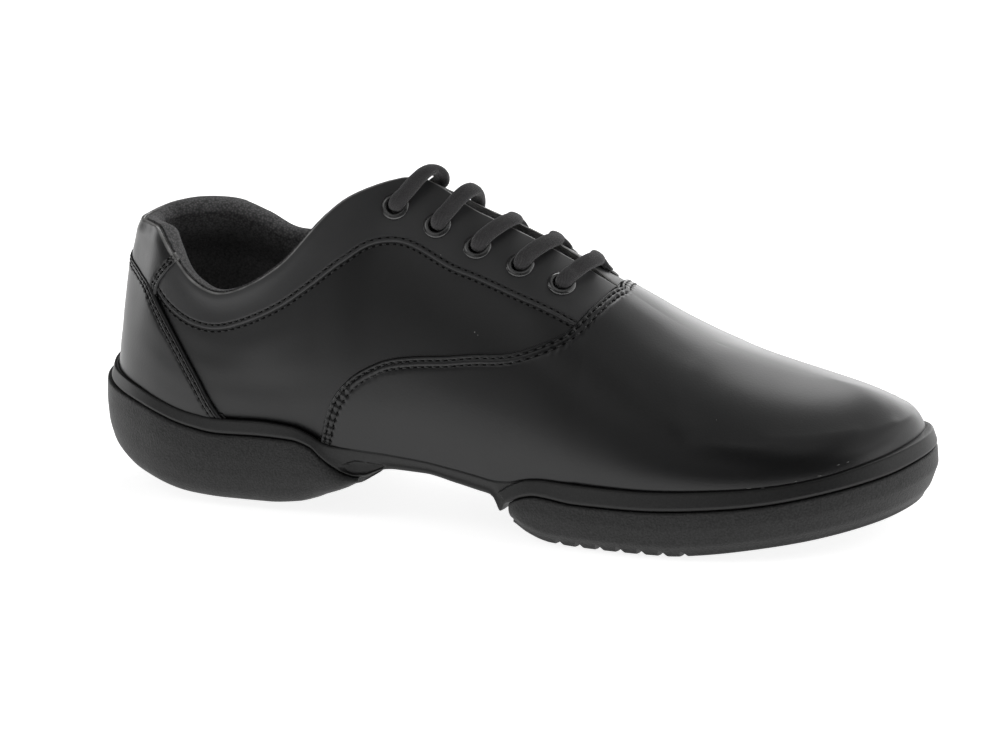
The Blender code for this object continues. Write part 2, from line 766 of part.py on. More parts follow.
def lace_bar(number, edge, bar):
    """One lace bar, out of the lateral eyelet, over the throat and into the medial one."""
    lateral = eyelet_frame(edge, False)
    medial = eyelet_frame(edge, True)
    middle_turn = edge.turn + MEDIAL_STAGGER / 2
    loops = np.array([middle_turn, 2 - middle_turn])
    ahead = (tops(loops + [1e-3, -1e-3]) - tops(loops)).mean(0)
    ahead = ahead / np.linalg.norm(ahead)
    above = np.cross(ahead, [0.0, 1.0, 0.0])
    rise = FIT + LIGHT_PANEL + LACE_THICK + bar.arch
    middle = tops(loops).mean(0) + above * rise + ahead * bar.sag
    half = []
    for centre, axis, _ in (lateral, medial):
        inward = middle - centre
        inward = inward - axis * inward.dot(axis)
        inward = inward / np.linalg.norm(inward)
        lift = ((0.0, -1.2), (0.0, 1.9), (0.5, 3.2), (2.0, 4.1), (4.8, 4.3))
        half.append([centre + inward * along + axis * up for along, up in lift])
    start = half[0][-1]
    end = half[1][-1]
    pull = 2 * middle - (start + end) / 2
    crest = [start * (1 - t) ** 2 + pull * 2 * t * (1 - t) + end * t * t for t in (0.25, 0.5, 0.75)]
    path = half[0] + crest + half[1][::-1]
    points = []
    sides = 8
    lengthwise = (lateral[2] - medial[2]) / 2
    for i, place in enumerate(path):
        ahead = path[min(i + 1, len(path) - 1)] - path[max(i - 1, 0)]
        ahead = ahead / np.linalg.norm(ahead)
        wide = lengthwise - ahead * lengthwise.dot(ahead)
        wide = wide / np.linalg.norm(wide)
        thick = np.cross(ahead, wide)
        for k in range(sides):
            angle = 2 * math.pi * (k + 0.5) / sides
            offset = wide * LACE_WIDE * math.cos(angle) + thick * LACE_THICK * math.sin(angle)
            points.append(place + offset)
    faces = [tuple(range(sides)), tuple(len(points) - sides + k for k in reversed(range(sides)))]
    for i in range(len(path) - 1):
        for k in range(sides):
            a, b = i * sides + k, i * sides + (k + 1) % sides
            faces.append((a, a + sides, b + sides, b))
    solid(f"lace_bar_{number}", points, faces, COTTON)


def centre_on_floor():
    """Moves everything so that the middle of the underside is the origin."""
    shown = [o for o in bpy.data.objects if not o.hide_render]
    corners = np.array([v.co for o in shown for v in o.data.vertices])
    low = corners.min(0)
    high = corners.max(0)
    shift = Vector((-(low[0] + high[0]) / 2, -(low[1] + high[1]) / 2, -low[2]))
    for mesh in bpy.data.meshes:
        mesh.transform(Matrix.Translation(shift))


def main():
    """Builds the shoe."""
    for old in list(bpy.data.objects):
        bpy.data.objects.remove(old, do_unlink=True)
    for old in list(bpy.data.meshes):
        bpy.data.meshes.remove(old)
    holes = eyelet_cutter()
    cut(upper(), holes)
    cut(facing("facing_lateral", False), holes)
    cut(facing("facing_medial", True), holes)
    vamp()
    heel_counter()
    heel_tab()
    tongue()
    insole()
    cup()
    heel_block()
    forefoot_block()
    eyelets("lateral", False)
    eyelets("medial", True)
    for number, (edge, bar) in enumerate(zip(EYELETS, LACE_BARS), start=1):
        lace_bar(number, edge, bar)
    centre_on_floor()


if __name__ == "__main__":
    main()
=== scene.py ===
"""Dresses a black marching band shoe: leather, stitching, lining, lace, eyelets and rubber around its solids.

Lengths are millimetres measured from the back of the sole, and Last.place turns them to metres in the
frame. A "loop" is a place around the upper: 0 to 1 is the lateral side from heel to toe, and 1 to 2 the
medial side back to the heel. A "turn" is the same for both sides, and a "share" is the way up from the
feather line to the top edge.
"""

import logging
import math
from dataclasses import dataclass, field
from enum import Enum
from typing import Callable, NamedTuple, Sequence

import bmesh
import bpy
import numpy as np
from mathutils import Matrix, Vector
from mathutils.kdtree import KDTree


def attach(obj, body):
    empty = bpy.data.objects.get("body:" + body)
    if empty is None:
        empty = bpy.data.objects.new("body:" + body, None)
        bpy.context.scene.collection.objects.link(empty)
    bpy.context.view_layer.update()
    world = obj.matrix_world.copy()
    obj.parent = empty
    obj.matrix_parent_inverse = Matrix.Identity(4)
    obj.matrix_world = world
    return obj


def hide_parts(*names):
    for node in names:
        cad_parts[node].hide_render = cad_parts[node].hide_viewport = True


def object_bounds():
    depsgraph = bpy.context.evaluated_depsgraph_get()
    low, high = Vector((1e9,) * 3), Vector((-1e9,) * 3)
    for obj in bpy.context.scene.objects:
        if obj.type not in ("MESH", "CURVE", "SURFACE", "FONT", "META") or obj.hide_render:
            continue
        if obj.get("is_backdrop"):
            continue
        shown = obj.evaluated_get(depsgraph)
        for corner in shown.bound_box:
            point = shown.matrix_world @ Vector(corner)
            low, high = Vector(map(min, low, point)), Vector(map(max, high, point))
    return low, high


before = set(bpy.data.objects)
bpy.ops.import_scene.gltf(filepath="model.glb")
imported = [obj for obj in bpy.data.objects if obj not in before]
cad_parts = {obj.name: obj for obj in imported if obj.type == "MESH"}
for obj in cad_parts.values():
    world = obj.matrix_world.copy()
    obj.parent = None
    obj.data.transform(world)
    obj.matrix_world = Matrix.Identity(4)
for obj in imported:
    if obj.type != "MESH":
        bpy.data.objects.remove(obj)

MM = 0.001
BODY = "root"

# Rough lengths on the upper of a whole turn and a whole share.
TURN_LENGTH = 320.0
SHARE_LENGTH = 70.0

# Angles in degrees from which an edge is shaded sharp.
LEATHER_SHARP = 60.0
RUBBER_SHARP = 38.0
METAL_SHARP = 50.0
CORD_SHARP = 70.0
GRAIN_SHARP = 80.0

# Metres within which points are one, and edges too short to keep.
MERGE = 1e-6
SLIVER = 1e-7

# Pins that the eyelet holes are cut with.
PIN_SIDES = 28
PIN_LENGTH = 12.0

Array = np.ndarray
Colour = tuple[float, float, float]
Socket = bpy.types.NodeSocket

log = logging.getLogger("shoe")


class Side(Enum):
    """The two sides of the shoe."""

    LATERAL = "lateral"
    MEDIAL = "medial"

    def loops(self, turn: Array) -> Array:
        """Places on the loop for turns of this side."""
        return np.asarray(turn, float) if self is Side.LATERAL else 2 - np.asarray(turn, float)

    @property
    def up(self) -> int:
        """Sign that turns normal x direction-to-the-toe into the way up this side."""
        return 1 if self is Side.LATERAL else -1


class Rib(NamedTuple):
    """One section of the upper: its feet, its tops, and the handles of the curve between them."""

    turn: float
    lateral: float
    medial: float
    top_x: float
    ridge: float
    half: float
    z_lateral: float
    z_medial: float
    rise: float
    swell: float
    draw: float
    crown: float


RIBS = (
    #   turn  lateral medial top_x ridge  half  z_lat  z_med  rise swell draw crown
    Rib(0.000, 0.0, 0.0, 18.0, 0.0, 0.0, 90.4, 90.4, 0.30, -0.6, 0.30, 5.5),
    Rib(0.050, -9.5, 9.5, 18.8, 0.0, 6.2, 90.6, 90.9, 0.30, -0.6, 0.30, 5.5),
    Rib(0.100, -19.0, 18.0, 21.5, 0.0, 11.4, 90.8, 91.7, 0.30, -0.4, 0.30, 5.5),
    Rib(0.150, -26.0, 25.0, 27.6, 0.0, 17.2, 91.2, 92.1, 0.30, 0.2, 0.30, 5.2),
    Rib(0.177, -28.9, 27.9, 32.0, -0.1, 20.8, 90.6, 91.6, 0.30, 0.6, 0.30, 4.9),
    Rib(0.200, -31.0, 30.0, 36.8, -0.2, 24.0, 85.3, 90.6, 0.30, 1.0, 0.30, 4.5),
    Rib(0.250, -33.5, 32.0, 47.5, -0.2, 27.4, 74.8, 85.8, 0.30, 2.2, 0.30, 3.5),
    Rib(0.300, -34.0, 32.0, 60.0, -0.2, 28.2, 72.5, 80.2, 0.30, 3.0, 0.30, 3.0),
    Rib(0.350, -34.0, 30.0, 79.0, 0.0, 26.5, 82.5, 83.0, 0.32, 3.5, 0.30, 4.0),
    Rib(0.400, -34.0, 28.0, 100.0, 0.0, 14.5, 104.0, 99.5, 0.38, 4.0, 0.25, 10.0),
    Rib(0.425, -34.5, 27.5, 112.0, 0.0, 4.5, 108.0, 105.5, 0.42, 4.0, 0.20, 15.0),
    Rib(0.500, -38.0, 30.0, 142.0, 0.0, 2.4, 97.5, 97.5, 0.50, 4.0, 0.14, 18.0),
    Rib(0.570, -42.5, 37.0, 174.0, 0.2, 2.0, 83.2, 83.2, 0.54, 3.0, 0.06, 19.0),
    Rib(0.600, -44.0, 40.0, 188.0, 0.5, 0.0, 74.4, 74.4, 0.55, 3.0, 0.00, 20.0),
    Rib(0.700, -43.5, 43.0, 215.0, 1.5, 0.0, 59.2, 59.2, 0.55, 2.0, 0.00, 19.0),
    Rib(0.800, -34.0, 37.0, 237.0, 3.0, 0.0, 51.6, 51.6, 0.55, 1.5, 0.00, 17.0),
    Rib(0.900, -16.0, 24.0, 252.5, 4.0, 0.0, 47.6, 47.6, 0.55, 1.0, 0.00, 15.0),
    Rib(1.000, 5.0, 5.0, 259.0, 5.0, 0.0, 46.4, 46.4, 0.55, 1.0, 0.00, 14.5),
)


class SoleLine(NamedTuple):
    """Heights of the side of the sole at one place along it."""

    x: float
    welt: float
    under: float
    ground: float


SOLE = (
    #         x  welt  under ground
    SoleLine(0, 42.6, 37.6, 12.6),
    SoleLine(10, 40.9, 35.9, 8.9),
    SoleLine(20, 39.0, 34.0, 4.9),
    SoleLine(25, 37.8, 32.9, 3.6),
    SoleLine(34, 35.0, 30.4, 1.6),
    SoleLine(40, 33.2, 28.6, 0.7),
    SoleLine(46, 31.9, 27.3, 0.3),
    SoleLine(57, 30.8, 25.9, 0.0),
    SoleLine(72, 31.1, 26.2, 0.0),
    SoleLine(84, 30.2, 25.8, 1.3),
    SoleLine(91, 27.8, 23.8, 4.0),
    SoleLine(95, 25.6, 20.4, 5.8),
    SoleLine(99, 24.6, 17.4, 7.6),
    SoleLine(102.5, 24.2, 15.4, 9.3),
    SoleLine(106.6, 24.0, 14.4, 11.5),
    SoleLine(110.6, 23.8, 14.9, 12.0),
    SoleLine(114, 23.7, 16.6, 12.0),
    SoleLine(118, 23.6, 18.1, 12.0),
    SoleLine(122, 23.4, 18.5, 11.5),
    SoleLine(133, 22.8, 18.5, 10.0),
    SoleLine(145, 21.5, 16.7, 8.0),
    SoleLine(152.7, 20.5, 15.4, 7.0),
    SoleLine(158.4, 19.7, 14.4, 6.3),
    SoleLine(160.0, 19.6, 12.0, 6.0),
    SoleLine(161.3, 19.6, 9.4, 5.8),
    SoleLine(162.9, 19.7, 11.8, 5.5),
    SoleLine(165.4, 20.0, 13.3, 5.0),
    SoleLine(171.4, 21.6, 16.0, 2.3),
    SoleLine(176, 22.2, 16.9, 0.8),
    SoleLine(179, 22.4, 16.8, 0.3),
    SoleLine(190, 22.2, 15.9, 0.0),
    SoleLine(210, 22.1, 16.0, 0.0),
    SoleLine(220, 22.4, 16.4, 0.0),
    SoleLine(230, 23.0, 17.1, 0.8),
    SoleLine(249, 24.3, 18.9, 3.2),
    SoleLine(266, 26.5, 21.6, 5.5),
    SoleLine(281, 30.0, 24.5, 7.8),
    SoleLine(287, 31.8, 26.6, 9.0),
    SoleLine(292, 33.2, 28.0, 10.0),
)


class Edge(NamedTuple):
    """A point of a panel's edge on the upper."""

    turn: float
    share: float


VAMP_EDGE = (
    Edge(0.378, 0.01),
    Edge(0.38, 0.03),
    Edge(0.3818, 0.057),
    Edge(0.3848, 0.107),
    Edge(0.3893, 0.167),
    Edge(0.3968, 0.224),
    Edge(0.41, 0.27),
    Edge(0.432, 0.3),
    Edge(0.463, 0.33),
    Edge(0.517, 0.4),
    Edge(0.56, 0.47),
    Edge(0.583, 0.575),
    Edge(0.594, 0.74),
    Edge(0.6005, 1),
)

FACING_EDGE = (
    Edge(0.17, 0.68),
    Edge(0.207, 0.662),
    Edge(0.25, 0.692),
    Edge(0.295, 0.726),
    Edge(0.347, 0.737),
    Edge(0.386, 0.708),
    Edge(0.401, 0.708),
    Edge(0.415, 0.721),
    Edge(0.433, 0.708),
    Edge(0.48, 0.682),
    Edge(0.5125, 0.675),
    Edge(0.59, 0.626),
)

COUNTER_EDGE = (
    Edge(0, 0.775),
    Edge(0.075, 0.76),
    Edge(0.149, 0.704),
    Edge(0.19, 0.645),
    Edge(0.23, 0.54),
    Edge(0.2625, 0.335),
    Edge(0.274, 0.2),
    Edge(0.2845, 0.074),
    Edge(0.289, 0.02),
)

TAB_SIDE = (
    Edge(0.188, 0.62),
    Edge(0.1905, 0.7),
    Edge(0.203, 0.846),
    Edge(0.2185, 1),
)

EYELETS = (
    Edge(0.431, 0.853),
    Edge(0.4705, 0.818),
    Edge(0.507, 0.814),
    Edge(0.541, 0.808),
    Edge(0.5715, 0.800),
)


def ramp(value: Array, start: float, end: float) -> Array:
    """Smooth step from 0 at start to 1 at end."""
    t = np.clip((np.asarray(value, float) - start) / (end - start), 0.0, 1.0)
    return t * t * (3 - 2 * t)


def hump(value: Array, centre: float, width: float) -> Array:
    """Bell of height 1 around a centre."""
    return np.exp(-(((np.asarray(value, float) - centre) / width) ** 2))


def unit(vectors: Array) -> Array:
    """Vectors scaled to length 1."""
    return vectors / np.linalg.norm(vectors, axis=-1, keepdims=True)


def cubic(knots: Array, values: Array, slopes: Array, at: Array) -> Array:
    """Piecewise cubic from values and slopes.

    Args:
        knots: increasing places of the values.
        values: value at each knot.
        slopes: slope at each knot.
        at: places to read.

    Returns:
        The curve's values.
    """
    i = np.clip(np.searchsorted(knots, at, side="right") - 1, 0, len(knots) - 2)
    span = knots[i + 1] - knots[i]
    t = (at - knots[i]) / span
    low = values[i] * (1 + 2 * t) * (1 - t) ** 2 + slopes[i] * span * t * (1 - t) ** 2
    high = values[i + 1] * t * t * (3 - 2 * t) - slopes[i + 1] * span * t * t * (1 - t)
    return low + high


def spread(stops: Sequence[float], steps: Sequence[float]) -> Array:
    """Places from the first stop to the last, with about the given step between each pair of stops.

    Args:
        stops: increasing places that are all kept.
        steps: step length between each stop and the next.

    Returns:
        The places.
    """
    runs = []
    for start, end, step in zip(stops, stops[1:], steps):
        count = max(1, round((end - start) / step))
        runs.append(np.linspace(start, end, count + 1)[:-1])
    return np.append(np.concatenate(runs), stops[-1])


PANEL_ROWS = spread((0.0, 0.12, 1.0), (0.0085, 0.03))


def over_toe(turns: Array) -> Array:
    """Places on the loop from turns of the lateral side, over the toe and back along the medial side."""
    return np.concatenate([turns, 2 - turns[-2::-1]])


def around_heel(turns: Array) -> Array:
    """Places on the loop from turns of the medial side, around the heel to those of the lateral side."""
    return np.concatenate([-turns[:0:-1], turns])


def lengths_along(points: Array) -> Array:
    """Length of a line of points up to each of them."""
    return np.concatenate([[0.0], np.cumsum(np.linalg.norm(np.diff(points, axis=0), axis=1))])


@dataclass(frozen=True)
class Last:
    """The form that the shoe is built on, as functions of places around it."""

    heel_x: float = 5.0
    upper_length: float = 281.8
    rim_depth: float = 2.7
    throat_end: float = 0.60
    medial_stagger: float = 0.011
    origin: tuple[float, float, float] = (145.5, -0.816, 0.0)

    def place(self, points: Array) -> Array:
        """Points in metres in the frame, from millimetres from the back of the sole."""
        return (np.asarray(points, float) - np.array(self.origin)) * MM

    def around(self, lateral: Sequence[float], medial: Sequence[float], loop: Array) -> Array:
        """Smooth closed curve through one table column on each side.

        Args:
            lateral: the lateral values of the ribs.
            medial: the medial values of the ribs.
            loop: places to read.

        Returns:
            Values at the places.
        """
        turns = [rib.turn for rib in RIBS]
        once = turns + [2 - t for t in turns[-2:0:-1]]
        values = np.array((list(lateral) + list(medial[-2:0:-1])) * 3, float)
        knots = np.array([k - 2 for k in once] + once + [k + 2 for k in once], float)
        return cubic(knots, values, np.gradient(values, knots), np.mod(loop, 2))

    def column(self, name: str, loop: Array) -> Array:
        """One shared column of the rib table, read at places on the loop."""
        values = [getattr(rib, name) for rib in RIBS]
        return self.around(values, values, loop)

    def sides(self, lateral: str, medial: str, loop: Array) -> Array:
        """Two columns of the rib table, one for each side, read at places on the loop."""
        return self.around([getattr(r, lateral) for r in RIBS], [getattr(r, medial) for r in RIBS], loop)

    def turn(self, loop: Array) -> Array:
        """The turn of a place on the loop."""
        loop = np.mod(loop, 2)
        return np.minimum(loop, 2 - loop)

    def plan(self, loop: Array) -> Array:
        """x and y of the feather line."""
        x = self.heel_x + self.upper_length * (1 - np.cos(np.pi * np.asarray(loop, float))) / 2
        return np.stack([x, self.sides("lateral", "medial", loop)], -1)

    def outward(self, loop: Array) -> Array:
        """Unit normal of the feather line in plan, pointing out."""
        along = self.plan(np.asarray(loop) + 1e-3) - self.plan(np.asarray(loop) - 1e-3)
        return unit(np.stack([along[..., 1], -along[..., 0]], -1))

    def offset(self, loop: Array, distance: Array) -> Array:
        """The feather line moved out by a distance."""
        distance = np.broadcast_to(np.asarray(distance, float), np.shape(loop))
        return self.plan(loop) + self.outward(loop) * distance[..., None]

    def sole(self, name: str, x: Array) -> Array:
        """One height of the sole's side along its length, which never swings past the table's values.

        Args:
            name: the table's column.
            x: places along the shoe.

        Returns:
            Heights at those places.
        """
        knots = np.array([row.x for row in SOLE], float)
        values = np.array([getattr(row, name) for row in SOLE], float)
        rates = np.diff(values) / np.diff(knots)
        same = rates[:-1] * rates[1:] > 0
        total = np.where(same, rates[:-1] + rates[1:], 1.0)
        inner = np.where(same, 2 * rates[:-1] * rates[1:] / total, 0.0)
        slopes = np.concatenate([rates[:1], inner, rates[-1:]])
        return cubic(knots, values, slopes, np.clip(x, knots[0], knots[-1]))

    def welt(self, loop: Array) -> Array:
        """Height of the band's top edge at places on the loop."""
        return self.sole("welt", self.plan(loop)[..., 0])

    def tops(self, loop: Array) -> Array:
        """The collar, the edges of the throat and the ridge of the vamp, as one line.

        Args:
            loop: places around the upper.

        Returns:
            Points in millimetres.
        """
        turn = self.turn(loop)
        side = np.where(np.mod(loop, 2) > 1, 1.0, -1.0)
        half = np.where(turn < self.throat_end - 1e-9, np.maximum(self.column("half", loop), 0.0), 0.0)
        y = self.column("ridge", loop) + side * half
        return np.stack([self.column("top_x", loop), y, self.sides("z_lateral", "z_medial", loop)], -1)

    def ribs(self, loop: Array, share: Array) -> Array:
        """Points of the upper's outer surface.

        Args:
            loop: places around the upper.
            share: the way up at each of those places.

        Returns:
            Points in millimetres.
        """
        foot = np.concatenate([self.plan(loop), (self.welt(loop) - self.rim_depth)[:, None]], -1)
        top = self.tops(loop)
        out = np.concatenate([self.outward(loop), np.zeros((len(loop), 1))], -1)
        turn = np.clip(self.turn(loop), self.throat_end - 0.05, 0.99)
        ahead = self.tops(turn + 0.01) - self.tops(turn - 0.01)
        fade = np.clip((self.turn(loop) - self.throat_end + 0.05) / 0.05, 0.0, 1.0)
        crown = out * self.column("crown", loop)[:, None]
        crown[:, 2] = crown[:, 0] * fade * ahead[:, 2] / ahead[:, 0]
        height = (top - foot)[:, 2]
        up = np.array([0.0, 0.0, 1.0])
        swell = out * self.column("swell", loop)[:, None]
        low = foot + swell + (self.column("rise", loop) * height)[:, None] * up
        high = top + crown - (self.column("draw", loop) * height)[:, None] * up
        v = share[:, None]
        return foot * (1 - v) ** 3 + 3 * low * v * (1 - v) ** 2 + 3 * high * v * v * (1 - v) + top * v**3

    def tangents(self, loop: Array, share: Array) -> tuple[Array, Array]:
        """Rates of the surface.

        Args:
            loop: places around the upper.
            share: the way up at each of those places.

        Returns:
            Rates along the loop, and rates up the ribs.
        """
        step = 2e-3
        along = (self.ribs(loop + step, share) - self.ribs(loop - step, share)) / (2 * step)
        rise = (self.ribs(loop, share + step) - self.ribs(loop, share - step)) / (2 * step)
        return along, rise

    def normals(self, loop: Array, share: Array) -> Array:
        """Outward normals of the surface; both sides agree along the ridge of the vamp.

        Args:
            loop: places around the upper.
            share: the way up at each of those places.

        Returns:
            Unit vectors.
        """
        beside = np.minimum(share, 0.94)
        shared = sum(unit(np.cross(*self.tangents(at, beside))) for at in (loop, 2 - loop))
        end = self.throat_end
        weight = ramp(share, 0.90, 0.995) * ramp(self.turn(loop), end - 0.002, end + 0.006)
        own = unit(np.cross(*self.tangents(loop, share)))
        return unit(own * (1 - weight[:, None]) + unit(shared) * weight[:, None])

    def skin(self, loop: Array, share: Array, lift: Array | float = 0.0) -> Array:
        """Points off the leather's surface, with its soft troughs and swells.

        Args:
            loop: places around the upper.
            share: the way up at each of those places.
            lift: distance outwards, the same for all or one for each.

        Returns:
            Points in millimetres, in the shape of loop.
        """
        shape = np.broadcast_shapes(np.shape(loop), np.shape(share))
        loop = np.broadcast_to(np.asarray(loop, float), shape).ravel()
        share = np.broadcast_to(np.asarray(share, float), shape).ravel()
        lift = np.broadcast_to(np.asarray(lift, float), shape).ravel() + self.relief(loop, share)
        points = self.ribs(loop, share) + self.normals(loop, share) * lift[:, None]
        return points.reshape(*shape, 3)

    def relief(self, loop: Array, share: Array) -> Array:
        """Troughs and swells of the leather from use, in millimetres.

        Args:
            loop: places around the upper.
            share: the way up at each of those places.

        Returns:
            Heights to add along the normals.
        """
        turn = self.turn(loop)
        collar = ramp(turn, 0.20, 0.27) * (1 - ramp(turn, 0.36, 0.42))
        trough = -0.4 * collar * hump(share, 0.84, 0.09)
        pad = 0.25 * collar * hump(share, 0.955, 0.04)
        heel_pad = 0.3 * (1 - ramp(turn, 0.14, 0.22)) * hump(share, 0.92, 0.05)
        waist = -0.8 * hump(turn, 0.335, 0.03) * hump(share, 0.30, 0.14)
        flex = -0.25 * hump(turn + 0.05 * (1 - share), 0.655, 0.02) * hump(share, 0.8, 0.12)
        heel = hump(turn, 0.0, 0.13) * (1.0 * hump(share, 0.84, 0.2) - 2.1 * hump(share, 0.25, 0.35))
        wave = 0.05 * np.sin(43 * turn + 5 * share) * np.sin(29 * share - 17 * turn) * ramp(share, 0.1, 0.25)
        toe = 0.5 * hump(turn, 0.97, 0.13) * hump(share, 0.6, 0.3)
        return trough + pad + heel_pad + waist + flex + heel + toe + wave * (1 - ramp(share, 0.75, 0.95))

    def share_at(self, loop: Array, height: Array) -> Array:
        """Share at which each rib reaches a height near its foot.

        Args:
            loop: places around the upper.
            height: the height at each of those places.

        Returns:
            Shares.
        """
        shares = np.linspace(0, 0.4, 161)
        grid = self.ribs(np.repeat(loop, len(shares)), np.tile(shares, len(loop)))
        z = grid[:, 2].reshape(len(loop), -1)
        return np.array([np.interp(h, row, shares) for h, row in zip(height, z)])

    def eyelet(self, edge: Edge, side: Side) -> tuple[Array, Array, Array]:
        """Place of an eyelet on the upper.

        Args:
            edge: its turn and share.
            side: the side of the shoe.

        Returns:
            Its centre, its axis, and a direction along the facing.
        """
        turn = edge.turn + (self.medial_stagger if side is Side.MEDIAL else 0.0)
        loop, share = side.loops(np.array([turn])), np.array([edge.share])
        along, rise = self.tangents(loop, share)
        axis = unit(np.cross(along, rise))[0]
        ahead = along[0] - axis * along[0].dot(axis)
        return self.ribs(loop, share)[0], axis, unit(ahead)


LAST = Last()


def edge_curve(edge: Sequence[Edge], count: int = 900) -> tuple[Array, Array]:
    """Smooth curve through an edge's points.

    Args:
        edge: the points in order.
        count: how many points the curve has.

    Returns:
        Turns and shares along the curve.
    """
    turns = np.array([p.turn for p in edge])
    shares = np.array([p.share for p in edge])
    steps = np.hypot(np.diff(turns) * TURN_LENGTH, np.diff(shares) * SHARE_LENGTH)
    knots = np.concatenate([[0.0], np.cumsum(steps)])
    at = np.linspace(0.0, knots[-1], count)
    curve = [cubic(knots, v, np.gradient(v, knots), at) for v in (turns, shares)]
    return np.maximum.accumulate(curve[0]), np.clip(curve[1], 0.0, 1.0)


def edge_line(edge: Sequence[Edge], turn: Array) -> Array:
    """Share of a panel's edge along the turn."""
    return np.interp(turn, *edge_curve(edge))


# Finishes


class Nodes:
    """Short names for building a material's node tree."""

    # A colour mix's sockets go by number, because their names repeat.
    MIX_FACTOR, MIX_UNDER, MIX_OVER, MIX_RESULT = 0, 6, 7, 2

    def __init__(self, name: str) -> None:
        """Starts a material with its shader.

        Args:
            name: the material's name.
        """
        self.material = bpy.data.materials.new(name)
        self.material.use_nodes = True
        self.tree = self.material.node_tree
        self.shader = self.tree.nodes["Principled BSDF"]

    def add(self, kind: str, **settings: object) -> bpy.types.Node:
        """Adds a node.

        Args:
            kind: the node's type.
            settings: properties, or inputs by name with underscores for spaces.

        Returns:
            The node.
        """
        node = self.tree.nodes.new(kind)
        for key, value in settings.items():
            if hasattr(node, key):
                setattr(node, key, value)
            else:
                node.inputs[key.replace("_", " ")].default_value = value
        return node

    def link(self, source: Socket, target: Socket) -> None:
        """Joins two sockets."""
        self.tree.links.new(source, target)

    def set(self, **values: object) -> None:
        """Sets constant values on the shader's sockets."""
        for key, value in values.items():
            self.shader.inputs[key.replace("_", " ")].default_value = value

    def coordinates(self, output: str, scale: Sequence[float] = (1, 1, 1)) -> Socket:
        """Coordinates of the surface, scaled.

        Args:
            output: Object or UV.
            scale: factors along x, y and z.

        Returns:
            The coordinates' socket.
        """
        source = self.add("ShaderNodeTexCoord")
        mapping = self.add("ShaderNodeMapping", Scale=scale)
        self.link(source.outputs[output], mapping.inputs["Vector"])
        return mapping.outputs["Vector"]

    def noise(self, where: Socket, scale: float, detail: float = 2.0) -> Socket:
        """Noise at coordinates.

        Args:
            where: the coordinates.
            scale: how fine it is.
            detail: how many finer layers it has.

        Returns:
            The noise's socket.
        """
        node = self.add("ShaderNodeTexNoise", Scale=scale, Detail=detail)
        self.link(where, node.inputs["Vector"])
        return node.outputs["Fac"]

    def cells(self, where: Socket, scale: float) -> Socket:
        """Distances to the middles of irregular cells.

        Args:
            where: the coordinates.
            scale: how fine the cells are.

        Returns:
            The distances' socket.
        """
        node = self.add("ShaderNodeTexVoronoi", Scale=scale)
        self.link(where, node.inputs["Vector"])
        return node.outputs["Distance"]

    def maths(self, operation: str, a: object, b: object) -> Socket:
        """An operation on two sockets or numbers.

        Args:
            operation: its name.
            a: the first value.
            b: the second value.

        Returns:
            The result's socket.
        """
        node = self.add("ShaderNodeMath", operation=operation)
        for socket, value in zip(node.inputs, (a, b)):
            if isinstance(value, Socket):
                self.link(value, socket)
            else:
                socket.default_value = value
        return node.outputs["Value"]

    def between(
        self,
        factor: Socket,
        low: object,
        high: object,
        target: str,
        span: tuple[float, float] = (0.0, 1.0),
    ) -> None:
        """Feeds a shader socket with values between two ends by a factor.

        Args:
            factor: 0 to 1 over the surface.
            low: number or colour at 0.
            high: number or colour at 1.
            target: the shader socket's name.
            span: factors at which a colour's two ends are reached.
        """
        if isinstance(low, (int, float)):
            node = self.add("ShaderNodeMapRange")
            node.inputs["To Min"].default_value = low
            node.inputs["To Max"].default_value = high
            self.link(factor, node.inputs["Value"])
            self.link(node.outputs["Result"], self.shader.inputs[target])
            return
        node = self.add("ShaderNodeValToRGB")
        for element, place, colour in zip(node.color_ramp.elements, span, (low, high)):
            element.position = place
            element.color = (*colour, 1.0)
        self.link(factor, node.inputs["Fac"])
        self.link(node.outputs["Color"], self.shader.inputs[target])

    def over(self, factor: Socket, colour: Sequence[float]) -> None:
        """Lays a colour over the base colour.

        Args:
            factor: 0 to 1 over the surface.
            colour: the colour at 1.
        """
        base = self.shader.inputs["Base Color"]
        node = self.add("ShaderNodeMix", data_type="RGBA")
        self.link(factor, node.inputs[self.MIX_FACTOR])
        self.link(base.links[0].from_socket, node.inputs[self.MIX_UNDER])
        node.inputs[self.MIX_OVER].default_value = (*colour, 1.0)
        self.link(node.outputs[self.MIX_RESULT], base)

    def bump(self, *layers: tuple[Socket, float, float]) -> None:
        """Bumps the surface.

        Args:
            layers: height, strength and depth in metres of each layer, each on the one before.
        """
        normal = None
        for height, strength, depth in layers:
            node = self.add("ShaderNodeBump", Strength=strength, Distance=depth)
            self.link(height, node.inputs["Height"])
            if normal is not None:
                self.link(normal, node.inputs["Normal"])
            normal = node.outputs["Normal"]
        self.link(normal, self.shader.inputs["Normal"])


